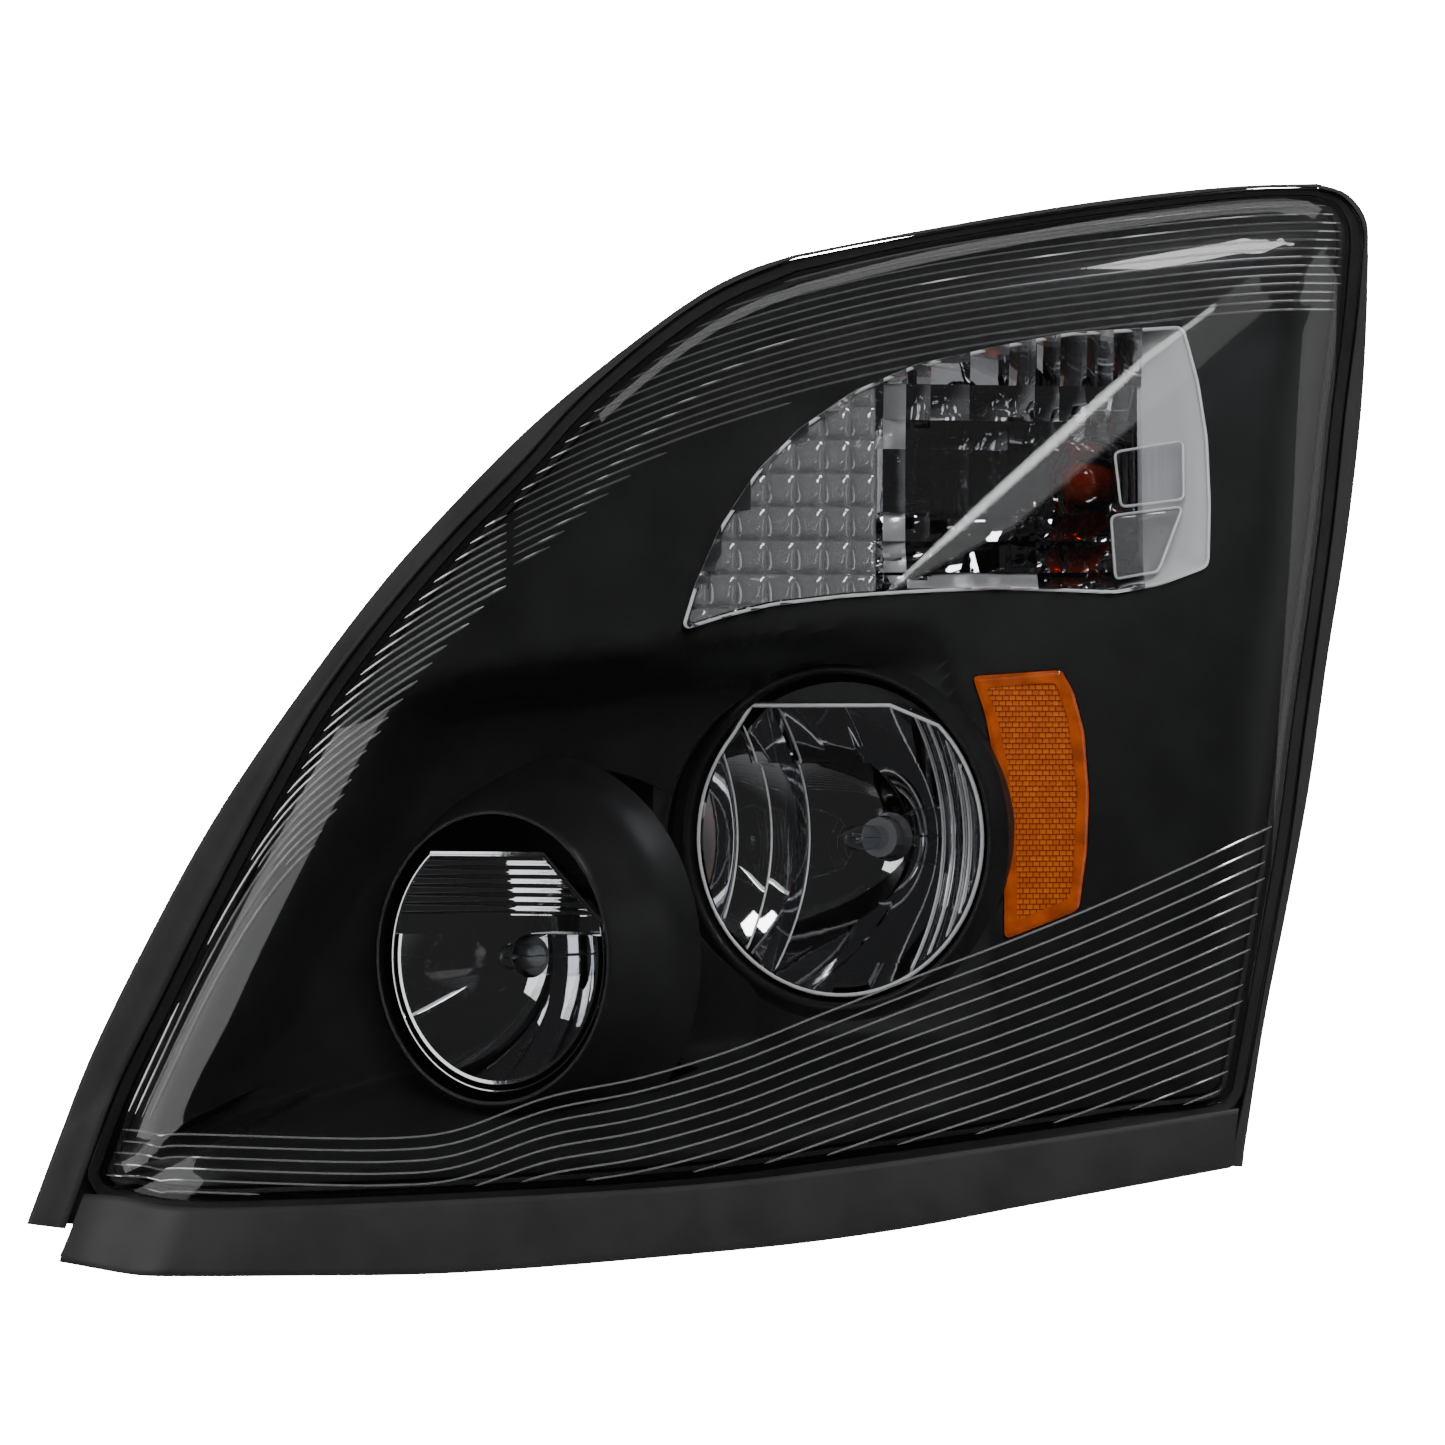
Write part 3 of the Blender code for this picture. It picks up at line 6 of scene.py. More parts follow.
import bmesh
import bpy
import numpy as np
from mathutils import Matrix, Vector


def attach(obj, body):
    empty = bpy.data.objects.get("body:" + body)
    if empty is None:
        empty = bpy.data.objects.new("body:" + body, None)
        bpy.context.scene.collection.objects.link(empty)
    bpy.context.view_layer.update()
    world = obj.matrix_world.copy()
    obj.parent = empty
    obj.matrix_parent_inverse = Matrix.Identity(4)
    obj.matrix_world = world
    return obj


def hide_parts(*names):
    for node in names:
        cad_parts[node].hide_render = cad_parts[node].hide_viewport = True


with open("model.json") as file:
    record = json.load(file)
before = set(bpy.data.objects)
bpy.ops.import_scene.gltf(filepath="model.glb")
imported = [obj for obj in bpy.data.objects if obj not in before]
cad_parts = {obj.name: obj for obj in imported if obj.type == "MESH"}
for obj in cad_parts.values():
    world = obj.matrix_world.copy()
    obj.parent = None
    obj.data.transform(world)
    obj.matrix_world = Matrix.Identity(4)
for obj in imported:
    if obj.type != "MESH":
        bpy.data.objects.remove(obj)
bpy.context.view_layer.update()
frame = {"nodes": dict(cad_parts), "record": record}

MM = 0.001
HOUSING = "lamp_housing"
CARRIER = "reflector_carrier"
REAR = Vector((0.0, 1.0, 0.0))
UP = Vector((0.0, 0.0, 1.0))

# Dimensions of the part, in millimetres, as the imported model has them
GAP = 0.4
LENS_APEX = -205.0
LENS_BOW_X = 0.0006
LENS_BOW_Z = 0.0004
LENS_LOW_Z = -180.0
LENS_MID_X = -10.0
LENS_WALL = 3.0
SKIRT_DEPTH = 14.0
SHOULDER = 35.0
CENTRE = Vector((30.0, -60.0))
LEAST_SLANT = 0.45
BACK_WALL = -60.0
HOUSING_WALL = 3.0
CHANNEL_FLOOR = 17.0
CHANNEL_FRONT = 6.0
CHANNEL_RIM = 5.5
FLANGE_FACE = 12.0
FLANGE_BACK_OFF = 2.0
PADS = {"rear_pad": (0.0, 0.0), "upper_outboard_pad": (265.0, 215.0), "upper_inboard_pad": (-60.0, 92.0),
        "lower_inboard_pad": (-235.0, -195.0), "lower_outboard_pad": (212.0, -150.0)}
BOSSES = [(-215.0, -165.0), (-30.0, 125.0), (262.0, 120.0), (226.0, -95.0)]
CONNECTOR = Vector((60.0, 0.0, 75.0))
CONNECTOR_HALF = Vector((16.0, 0.0, 11.0))
VENT = Vector((110.0, 0.0, 70.0))
GASKET_FRONT = 3.0
GASKET_BACK = 9.5
GASKET_END_LIFT = 5.0
GASKET_LOW_END = ((-308.0, -243.8), (-326.6, -241.6))
GASKET_HIGH_END = ((250.8, -213.0), (258.0, -213.5))
TRIM_WALL = 2.5
TRIM_RETURN = 18.0
BEZEL_BEHIND_LENS = 16.0
BEZEL_WALL = 3.0
VALLEY_DEEPEST = -118.0
VALLEY_RISE = (10.0, 62.0)
LEDGE_Z = 28.5
LEDGE_CLIMB = 0.1
LEDGE_BLEND = (-16.0, 12.0)
SWEEP = math.radians(26.0)
REARWARD = Vector((math.sin(SWEEP), math.cos(SWEEP), 0.0))
SIDEWAYS = Vector((math.cos(SWEEP), -math.sin(SWEEP), 0.0))
LOW_RIM = Vector((64.5, -137.0, -56.0))
LOW_RADIUS = 74.0
LOW_DEPTH = 52.0
LOW_FLAT = 64.0
LOW_OPENING = 84.0
LOW_BULB_SEAT = 54.6
HIGH_RIM = Vector((-102.0, -161.0, -113.0))
HIGH_RADIUS = 64.0
HIGH_DEPTH = 41.0
HIGH_FLAT = 49.0
HIGH_SQUEEZE = 0.89
HIGH_SET_BACK = 6.0
HIGH_FLANGE = 56.0
HOOD_RADIUS = 68.5
HOOD_FLARE = 0.42
HOOD_WALL = 2.4
BULB_HOLE = 10.5
BOWL_WALL = 2.0
BOWL_SHARP = 24.0
SHROUD_RADIUS = 75.3
TURN_VERTEX = Vector((190.0, -76.0, 116.0))
TURN_GLASS = 10.5
TURN_SEAT = -33.0
PIVOT = Vector((15.0, -90.0, 25.0))
VERTICAL_BALL = PIVOT - UP * 190.0
HORIZONTAL_BALL = PIVOT - Vector((135.0, 0.0, 0.0))
CAP_SEAT = -30.0
SEAL_SPACE = 3.4

LENS_RUNS = {
    "inboard": [(-292, -217), (-277, -178), (-255, -134), (-234, -92), (-204, -35), (-182, 4),
                (-152, 45), (-117, 86), (-83, 121), (-57, 150), (-18, 184), (10, 203), (44, 218)],
    "top": [(44, 218), (100, 231), (160, 242), (220, 251), (270, 257), (297, 258)],
    "corner": [(297, 258), (309, 254), (315, 245), (316, 234)],
    "outboard": [(316, 234), (312, 198), (305, 150), (298, 94), (284, 4), (276, -52), (268, -96),
                 (260, -139), (253, -176)],
    "bottom": [(253, -176), (248, -182), (200, -189), (150, -196), (70, -207), (0, -216),
               (-122, -224), (-207, -228), (-238, -229), (-262, -228), (-279, -225),
               (-288, -224), (-292, -217)],
}
SEAL_RUNS = {
    "inboard": [(-326, -242), (-311, -200), (-296, -162), (-268, -105), (-236, -47), (-197, 11),
                (-154, 68), (-119, 107), (-81, 145), (-35, 183), (0, 208), (22, 219), (43, 226)],
    "top": [(43, 226), (108, 239), (194, 254), (260, 262), (300, 264)],
    "corner": [(300, 264), (315, 259), (324, 247), (325, 228)],
    "outboard": [(325, 228), (323, 190), (319, 145), (311, 87), (301, 30), (292, -28), (281, -85),
                 (269, -143), (258, -211)],
}
TRIM_TOP = [(-299, -227), (-279, -228), (-262, -231), (-238, -232), (-207, -231), (-122, -227),
            (0, -219), (70, -211), (150, -200), (200, -193), (255.5, -184.8)]
TRIM_BOTTOM = [(-311, -260), (-291, -263), (-272, -265), (-253, -265), (-200, -264), (-122, -262),
               (0, -252), (50, -247), (100, -240), (150, -231), (252.0, -213.5)]
TURN_OUTLINE = [(-11, 44), (-5, 64), (8, 94), (25, 120), (46, 141), (72, 159), (102, 172), (141, 181),
                (176, 188), (232, 192), (239, 165), (243, 137), (244, 106), (243, 75), (219, 66),
                (197, 62), (141, 64), (98, 62), (68, 60), (33, 56), (12, 51)]
REFLEX_OUTLINE = [(128, 22), (171, 25), (177, 14), (182, -5), (184, -35), (183, -61), (179, -90),
                  (143, -104), (143, -74), (142, -48), (139, -22), (134, 4)]
REFLEX_WINDOW = [(134.5, 16.5), (168, 19), (174, 1), (178.5, -35), (175, -84), (149, -95), (149, -74),
                 (148, -48), (145, -22), (140, 2)]
SIDE_PRISM = [(197, 131), (232, 137), (232, 107), (200, 103)]
SIDE_BLOCK = [(195, 100), (232, 105), (219, 72), (197, 68)]

# The inner border of the fluted band along the top and inboard edges of the lens, and the band's flutes
BAND_INNER = [(313, 197), (245, 195.5), (120, 178), (81, 165), (46, 154.5), (12, 141.5), (-14, 131),
              (-40, 113.5), (-74.5, 83), (-105, 55), (-133, 23), (-152, -1), (-169, -31), (-191, -70),
              (-213, -122), (-230, -156), (-247, -195)]
# How steeply the flutes of that band climb, at each X
BAND_SLOPE = [(-300, 2.2), (-250, 2.1), (-215, 1.5), (-190, 0.9), (-150, 0.65), (-100, 0.52), (-50, 0.43),
              (0, 0.35), (50, 0.27), (100, 0.2), (150, 0.15), (240, 0.12), (280, 0.06), (313, 0.0)]
BAND_START = 197.0
BAND_PITCH = 4.3
LONG_FLUTE_END = -193.0
SHORT_FLUTE_END = -70.0
LEFT_FLUTES = -95.0
FLUTE_INSET = 2.6
FLUTE_SUNK = 0.3
# The highest flute of the fan along the bottom, and the spacing below it at each X
FAN_TOP = [(-300, -196), (-266, -196.5), (-262, -198), (-256, -197.2), (-150, -198), (-120, -194.5),
           (-74, -178), (-31, -169), (12, -156), (55, -139), (98, -122), (141, -106), (184, -89), (228, -70),
           (266, -53), (280, -47)]
FAN_SPACING = [(-300, 5.5), (-150, 5.6), (-60, 6.2), (100, 7.0), (280, 7.8)]
FAN_FLUTES = 19


# Curves and depths ---------------------------------------------------------------------------


def spline(points, step, count=None):
    """Points about step apart on a smooth curve through the given ones, or count equal steps of it."""
    through = [Vector(p) for p in points]
    ends = [2 * through[0] - through[1], *through, 2 * through[-1] - through[-2]]
    dense = []
    for p0, p1, p2, p3 in zip(ends, ends[1:], ends[2:], ends[3:]):
        t1 = (p1 - p0).length ** 0.5
        t2 = t1 + (p2 - p1).length ** 0.5
        t3 = t2 + (p3 - p2).length ** 0.5
        for k in range(12):
            t = t1 + (t2 - t1) * k / 12
            a1 = p0 * (t1 - t) / t1 + p1 * t / t1
            a2 = p1 * (t2 - t) / (t2 - t1) + p2 * (t - t1) / (t2 - t1)
            a3 = p2 * (t3 - t) / (t3 - t2) + p3 * (t - t2) / (t3 - t2)
            b1 = a1 * (t2 - t) / t2 + a2 * t / t2
            b2 = a2 * (t3 - t) / (t3 - t1) + a3 * (t - t1) / (t3 - t1)
            dense.append(b1 * (t2 - t) / (t2 - t1) + b2 * (t - t1) / (t2 - t1))
    dense.append(through[-1])
    lengths = [0.0]
    for a, b in zip(dense, dense[1:]):
        lengths.append(lengths[-1] + (b - a).length)
    count = count or max(1, round(lengths[-1] / step))
    made, i = [], 0
    for k in range(count + 1):
        at = lengths[-1] * k / count
        while i < len(dense) - 2 and lengths[i + 1] < at:
            i += 1
        share = (at - lengths[i]) / max(lengths[i + 1] - lengths[i], 1e-9)
        made.append(dense[i].lerp(dense[i + 1], min(1.0, share)))
    return made


def smoothstep(low, high, value):
    t = min(1.0, max(0.0, (value - low) / (high - low)))
    return t * t * (3 - 2 * t)


def table(points, x):
    """The value at x on straight lines through (x, value) points."""
    return float(np.interp(x, [p[0] for p in points], [p[1] for p in points]))


def polar(x, z, about=CENTRE):
    """The angle and the distance at which a point in XZ lies from another."""
    return math.atan2(z - about.y, x - about.x), math.hypot(x - about.x, z - about.y)


def round_the_circle(rays):
    """Columns of the (angle, ...) rows in order, with one more row at each end so that they join up."""
    rays = sorted(rays)
    first, last = rays[0], rays[-1]
    return np.array([(last[0] - math.tau, *last[1:]), *rays, (first[0] + math.tau, *first[1:])]).T


def lens_depth(x, z):
    rise = max(0.0, z - LENS_LOW_Z)
    return LENS_APEX + LENS_BOW_X * (x - LENS_MID_X) ** 2 + LENS_BOW_Z * rise**2


def shoulder_drop(run, x, share):
    if run == "inboard":
        return 19.0
    if run == "top":
        return 19.0 - 7.0 * share
    if run == "corner":
        return 12.0 - share
    if run == "outboard":
        return 11.0 - 6.0 * share
    return 5.0 - 3.0 * smoothstep(0.0, 0.15, share) + 17.0 * smoothstep(-245.0, -292.0, x)


class Edge:
    """The lens outline as matched samples: point, normal, shoulder drop, channel rim and seal edge."""

    STEP = 6.0

    def __init__(self):
        self.points, self.drops, self.outer, self.rims = [], [], [], []
        for run, through in LENS_RUNS.items():
            samples = spline(through, self.STEP, 12 if run == "corner" else None)
            count = len(samples) - 1
            seal = spline(SEAL_RUNS[run], 0, count) if run in SEAL_RUNS else None
            if run == "bottom":
                self.bottom_start = len(self.points)
            for k in range(count):
                share = k / count
                self.points.append(samples[k])
                self.drops.append(shoulder_drop(run, samples[k].x, share))
                slim = smoothstep(0.0, 0.3, share) if run == "top" else 1.0 - share
                self.rims.append(CHANNEL_RIM - 2.1 * slim * (run in ("top", "corner")))
                self.outer.append(seal[k] if seal else samples[k] + Vector((0.0, -22.0)))
        n = len(self.points)
        self.normals = []
        for i in range(n):
            along = self.points[(i + 1) % n] - self.points[i - 1]
            self.normals.append(Vector((-along.y, along.x)).normalized())
        rays = [(*polar(p.x, p.y), max(LEAST_SLANT, (p - CENTRE).normalized().dot(m)), d)
                for p, m, d in zip(self.points, self.normals, self.drops)]
        self.angle, self.reach, self.slant, self.drop = round_the_circle(rays)

    def moved(self, i, outward):
        ray = (self.points[i] - CENTRE).normalized()
        return self.points[i] + ray * outward / max(LEAST_SLANT, ray.dot(self.normals[i]))

    def scaled(self, i, inset, share):
        return CENTRE.lerp(self.moved(i, -inset), share)

    def edge_y(self, i):
        at = self.points[i]
        return lens_depth(at.x, at.y) + self.drops[i]

    def roll(self, i, inset):
        """How far the shoulder has dropped back at an inset from the outline's sample i."""
        return self.drops[i] * max(0.0, 1.0 - inset / SHOULDER) ** 2

    def inset_at(self, x, z):
        """How far a point lies inside the lens outline, and the shoulder drop there."""
        angle, distance = polar(x, z)
        reach = np.interp(angle, self.angle, self.reach)
        slant = np.interp(angle, self.angle, self.slant)
        return float((reach - distance) * slant), float(np.interp(angle, self.angle, self.drop))

    def lens_y(self, x, z):
        inset, drop = self.inset_at(x, z)
        return lens_depth(x, z) + drop * max(0.0, 1.0 - max(0.0, inset) / SHOULDER) ** 2


EDGE = Edge()


# Mesh helpers ---------------------------------------------------------------------------------


def piece(name, bm, paint, replaces=(), body=HOUSING, sharp=35.0):
    """A shown piece from a bmesh in millimetres."""
    obj = raw(name, bm, sharp)
    return show(obj, paint, replaces, body)


def placed(name, data):
    """A new object in the scene. A bmesh is made into its mesh first."""
    if isinstance(data, bmesh.types.BMesh):
        mesh = bpy.data.meshes.new(name)
        data.to_mesh(mesh)
        data.free()
        data = mesh
    obj = bpy.data.objects.new(name, data)
    bpy.context.scene.collection.objects.link(obj)
    return obj


def smooth(mesh, sharp):
    mesh.shade_smooth()
    mesh.set_sharp_from_angle(angle=math.radians(sharp))


def raw(name, bm, sharp=35.0):
    """An object, still without paint or body, from a bmesh in millimetres."""
    bmesh.ops.remove_doubles(bm, verts=bm.verts, dist=1e-4)
    bmesh.ops.recalc_face_normals(bm, faces=bm.faces)
    bmesh.ops.scale(bm, vec=Vector((MM, MM, MM)), verts=bm.verts)
    obj = placed(name, bm)
    smooth(obj.data, sharp)
    return obj


def helper(bm):
    return raw("helper", bm)


def show(obj, paint, replaces=(), body=HOUSING):
    obj.data.materials.clear()
    obj.data.materials.append(paint)
    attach(obj, body)
    if replaces:
        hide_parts(*replaces)
    return obj


def combined(obj, steps, sharp=35.0):
    """Applies Booleans to the object, from (helper, operation) pairs. The helpers are used up."""
    for cutter, operation in steps:
        step = obj.modifiers.new("join", "BOOLEAN")
        step.operation = operation
        step.object = cutter
        step.solver = "EXACT"
    bpy.context.view_layer.update()
    shown = obj.evaluated_get(bpy.context.evaluated_depsgraph_get())
    mesh = bpy.data.meshes.new_from_object(shown)
    obj.modifiers.clear()
    obj.data = mesh
    smooth(mesh, sharp)
    for cutter, _ in steps:
        bpy.data.objects.remove(cutter)


def bridge(bm, rows, wrap, ring=True):
    """Faces between neighbouring rows of vertices. With wrap, the last row meets the first."""
    count = len(rows[0])
    for one, two in zip(rows, rows[1:] + rows[:1] if wrap else rows[1:]):
        for k in range(count if ring else count - 1):
            m = (k + 1) % count
            bm.faces.new((one[k], one[m], two[m], two[k]))


def loft(rings, closed_ends=True):
    """A bmesh through rings of equally many points. Ends are capped, or the last ring meets the first."""
    bm = bmesh.new()
    rows = [[bm.verts.new(p) for p in ring] for ring in rings]
    count = len(rows[0])
    bridge(bm, rows, wrap=not closed_ends)
    if closed_ends:
        for row in (rows[0], rows[-1]):
            middle = bm.verts.new(sum((v.co for v in row), Vector()) / count)
            for k in range(count):
                bm.faces.new((row[k], row[(k + 1) % count], middle))
    return bm


def lamp_point(at, s, u, d):
    return at + SIDEWAYS * s + UP * u + REARWARD * d


def turned(profile, at, axis=REARWARD, sides=48):
    """A bmesh turned about axis through at, from (radius, distance along axis) points."""
    side = axis.cross(UP).normalized()
    bm = bmesh.new()
    rows = []
    for k in range(sides):
        angle = math.tau * k / sides
        spoke = side * math.cos(angle) + UP * math.sin(angle)
        rows.append([bm.verts.new(Vector(at) + axis * d + spoke * r) for r, d in profile])
    bridge(bm, rows, wrap=True, ring=profile[0][0] > 0)
    bmesh.ops.remove_doubles(bm, verts=bm.verts, dist=1e-4)
    bmesh.ops.dissolve_degenerate(bm, edges=bm.edges, dist=1e-4)
    return bm


def rod(radius, start, end, at, axis=REARWARD, sides=32):
    return helper(turned([(0, start), (radius, start), (radius, end), (0, end)], at, axis, sides))


def outline_solid(outline, front, back, place):
    """A bmesh prism over a closed outline; front and back give a depth at each of its points."""
    bm = bmesh.new()
    one = [bm.verts.new(place(a, b, front(a, b))) for a, b in outline]
    two = [bm.verts.new(place(a, b, back(a, b))) for a, b in outline]
    caps = [bm.faces.new(one), bm.faces.new(two[::-1])]
    for k in range(len(one)):
        m = (k + 1) % len(one)
        bm.faces.new((one[m], one[k], two[k], two[m]))
    bmesh.ops.triangulate(bm, faces=caps, ngon_method="EAR_CLIP")
    return bm


def world_place(x, z, y):
    return Vector((x, y, z))


def prism(outline, front, back):
    """A prism in XZ between two depths in Y, each a number."""
    return outline_solid(outline, lambda x, z: front, lambda x, z: back, world_place)


def outline_cutter(outline, grow, front, back, step=3.0, soften=0.25):
    """A helper prism over an outline that is grown and rounded."""
    return helper(prism(rounded(scaled_outline(outline, grow), step, soften), front, back))


def slab(us, vs, front, thickness, place=world_place):
    """A closed bmesh plate over a grid, its front at front(u, v)."""
    bm = bmesh.new()
    depth = [[front(u, v) for v in vs] for u in us]
    faces = []
    for extra in (0.0, thickness):
        faces.append([[bm.verts.new(place(u, v, d + extra)) for v, d in zip(vs, row)]
                      for u, row in zip(us, depth)])
    near, far = faces
    for grid in faces:
        for i in range(len(us) - 1):
            for j in range(len(vs) - 1):
                bm.faces.new((grid[i][j], grid[i + 1][j], grid[i + 1][j + 1], grid[i][j + 1]))
    last_u, last_v = len(us) - 1, len(vs) - 1
    for i in range(last_u):
        for j in (0, last_v):
            bm.faces.new((near[i][j], near[i + 1][j], far[i + 1][j], far[i][j]))
    for j in range(last_v):
        for i in (0, last_u):
            bm.faces.new((near[i][j], near[i][j + 1], far[i][j + 1], far[i][j]))
    return bm


def grid_lines(borders, pitch, seam=0.05):
    """Grid positions that meet each border with a pair of lines, so that the surface may step there."""
    made = []
    for a, b in zip(borders, borders[1:]):
        count = max(2, round((b - a) / pitch))
        made += [a + seam + (b - a - 2 * seam) * k / count for k in range(count + 1)]
    return made


def in_cell(borders, value):
    """The cell that a value lies in, and its place there from -1 to 1."""
    k = min(len(borders) - 2, max(0, bisect_right(borders, value) - 1))
    a, b = borders[k], borders[k + 1]
    return k, max(-1.0, min(1.0, 2 * (value - a) / (b - a) - 1))


def scaled_outline(outline, grow):
    """The outline with each side moved outwards by grow."""
    points = [Vector(p) for p in outline]
    area = sum(a.x * b.y - b.x * a.y for a, b in zip(points, points[1:] + points[:1]))
    sign = 1.0 if area < 0 else -1.0
    made = []
    for k, p in enumerate(points):
        before = (p - points[k - 1]).normalized()
        after = (points[(k + 1) % len(points)] - p).normalized()
        n1 = Vector((-before.y, before.x)) * sign
        n2 = Vector((-after.y, after.x)) * sign
        bisector = (n1 + n2).normalized()
        made.append(p + bisector * grow / max(0.5, bisector.dot(n1)))
    return made


def rounded(outline, step=3.0, soften=0.25):
    """The outline with its sides split up and its corners rounded a little."""
    made = []
    points = [Vector(p) for p in outline]
    for k, p in enumerate(points):
        before, after = points[k - 1], points[(k + 1) % len(points)]
        a = p.lerp(before, min(soften, 4.0 / (p - before).length))
        b = p.lerp(after, min(soften, 4.0 / (p - after).length))
        made += [a.lerp(p, t).lerp(p.lerp(b, t), t) for t in (0.0, 0.25, 0.5, 0.75, 1.0)]
        c = after.lerp(p, min(soften, 4.0 / (p - after).length))
        steps = max(1, round((c - b).length / step))
        made += [b.lerp(c, t / steps) for t in range(1, steps)]
    return made


def sweep(bm, points, normals, half_width, half_height, sides=6, closed=False):
    """Adds a bead along points to a bmesh, flattened along the normals."""
    rows = []
    last = len(points) - 1
    for k, (p, n) in enumerate(zip(points, normals)):
        if closed:
            along = points[(k + 1) % len(points)] - points[k - 1]
        else:
            along = points[min(last, k + 1)] - points[max(0, k - 1)]
        side = along.normalized().cross(n).normalized()
        taper = 1.0 if closed or 0 < k < last else 0.35
        angles = [math.tau * (m + 0.5) / sides for m in range(sides)]
        spokes = [side * math.cos(a) * half_width + n * math.sin(a) * half_height for a in angles]
        rows.append([bm.verts.new(p + spoke * taper) for spoke in spokes])
    bridge(bm, rows, wrap=closed)
    if not closed:
        bm.faces.new(rows[0][::-1])
        bm.faces.new(rows[-1])


def bead(name, points, radius, paint=None, facing=-REAR, body=HOUSING):
    """A round bead along a closed line, with the pale satin coat that paints a chrome edge's bright glint,
    unless it has its own paint.
    """
    bm = bmesh.new()
    sweep(bm, points, [facing] * len(points), radius, radius, 8, closed=True)
    piece(name, bm, paint or SHEEN_PAINTED_COAT, body=body)


# Materials ------------------------------------------------------------------------------------

COAT_ROUGHNESS = 0.08
GRAZING_POWER = 4.0
REFLEX_PITCH = 3.2
REFLEX_ROW = 0.8 * REFLEX_PITCH


def nodes_of(name):
    """A new material's node tree, and the material."""
    made = bpy.data.materials.new(name)
    made.use_nodes = True
    made.node_tree.nodes.clear()
    return made, made.node_tree


def node(tree, kind, inputs, **settings):
    """A shader node. Each input takes a value, or another node's output."""
    made = tree.nodes.new("ShaderNode" + kind)
    for key, value in settings.items():
        setattr(made, key, value)
    for key, value in inputs.items():
        if isinstance(value, bpy.types.NodeSocket):
            tree.links.new(value, made.inputs[key])
        else:
            made.inputs[key].default_value = value
    return made


def finish(tree, shader):
    node(tree, "OutputMaterial", {"Surface": shader.outputs[0]})


def coordinates(tree):
    return node(tree, "TexCoord", {}).outputs["Object"]


def moulded(name, colour, roughness, grain=1800.0, bump=0.05, metal=0.0, mottle=0.12, coat=0.0, cloud=30.0,
            bump_distance=0.0004, pattern=None):
    """A surface with grain and softly varying gloss. Its colour varies too, unless it has a pattern."""
    made, tree = nodes_of(name)
    where = coordinates(tree)
    cloudy = node(tree, "TexNoise", {"Scale": cloud, "Detail": 4.0, "Vector": where}).outputs["Fac"]
    fine = node(tree, "TexNoise", {"Scale": grain, "Detail": 2.0, "Vector": where}).outputs["Fac"]
    if pattern:
        tone = pattern(tree, where)
    else:
        shades = node(tree, "ValToRGB", {"Fac": cloudy})
        for stop, at, change in zip(shades.color_ramp.elements, (0.35, 0.65), (-mottle, mottle)):
            stop.position = at
            stop.color = (*(min(1.0, c * (1 + change)) for c in colour), 1.0)
        tone = shades.outputs["Color"]
    rough = node(tree, "MapRange", {"Value": cloudy, "From Min": 0.3, "From Max": 0.7,
                                    "To Min": roughness * 0.85, "To Max": min(1.0, roughness * 1.15)})
    relief = node(tree, "Bump", {"Strength": bump, "Distance": bump_distance, "Height": fine})
    finish(tree, node(tree, "BsdfPrincipled", {
        "Metallic": metal, "Base Color": tone, "Roughness": rough.outputs["Result"],
        "Normal": relief.outputs["Normal"], "Coat Weight": coat, "Coat Roughness": COAT_ROUGHNESS}))
    return made


def clear(name, through, least, roughness=0.02, body=0.0, body_colour=(0.4, 0.4, 0.4)):
    """A clear plastic or glass: seen through, with gloss that grows towards grazing angles."""
    made, tree = nodes_of(name)
    base = node(tree, "BsdfTransparent", {"Color": (*through, 1.0)})
    gloss = node(tree, "BsdfGlossy", {"Roughness": roughness})
    facing = node(tree, "LayerWeight", {"Blend": 0.5}).outputs["Facing"]
    grazing = node(tree, "Math", {0: facing, 1: GRAZING_POWER}, operation="POWER").outputs[0]
    reach = node(tree, "MapRange", {"Value": grazing, "To Min": least, "To Max": 1.0}).outputs["Result"]
    if body:
        solid = node(tree, "BsdfPrincipled", {"Base Color": (*body_colour, 1.0), "Roughness": 0.35})
        base = node(tree, "MixShader", {0: body, 1: base.outputs[0], 2: solid.outputs[0]})
    finish(tree, node(tree, "MixShader", {0: reach, 1: base.outputs[0], 2: gloss.outputs[0]}))
    return made


def reflex_net(tree, where):
    """The dark net of a prismatic reflector behind its face, in XZ."""
    turn = node(tree, "Mapping", {"Vector": where, "Rotation": (math.radians(-90.0), 0.0, 0.0)})
    return node(tree, "TexBrick", {
        "Vector": turn.outputs["Vector"], "Scale": 1.0, "Mortar Size": 0.0004, "Mortar Smooth": 0.6,
        "Brick Width": REFLEX_PITCH * MM, "Row Height": REFLEX_ROW * MM, "Color1": (0.7, 0.155, 0.01, 1.0),
        "Color2": (0.54, 0.1, 0.008, 1.0), "Mortar": (0.22, 0.02, 0.002, 1.0)}).outputs["Color"]


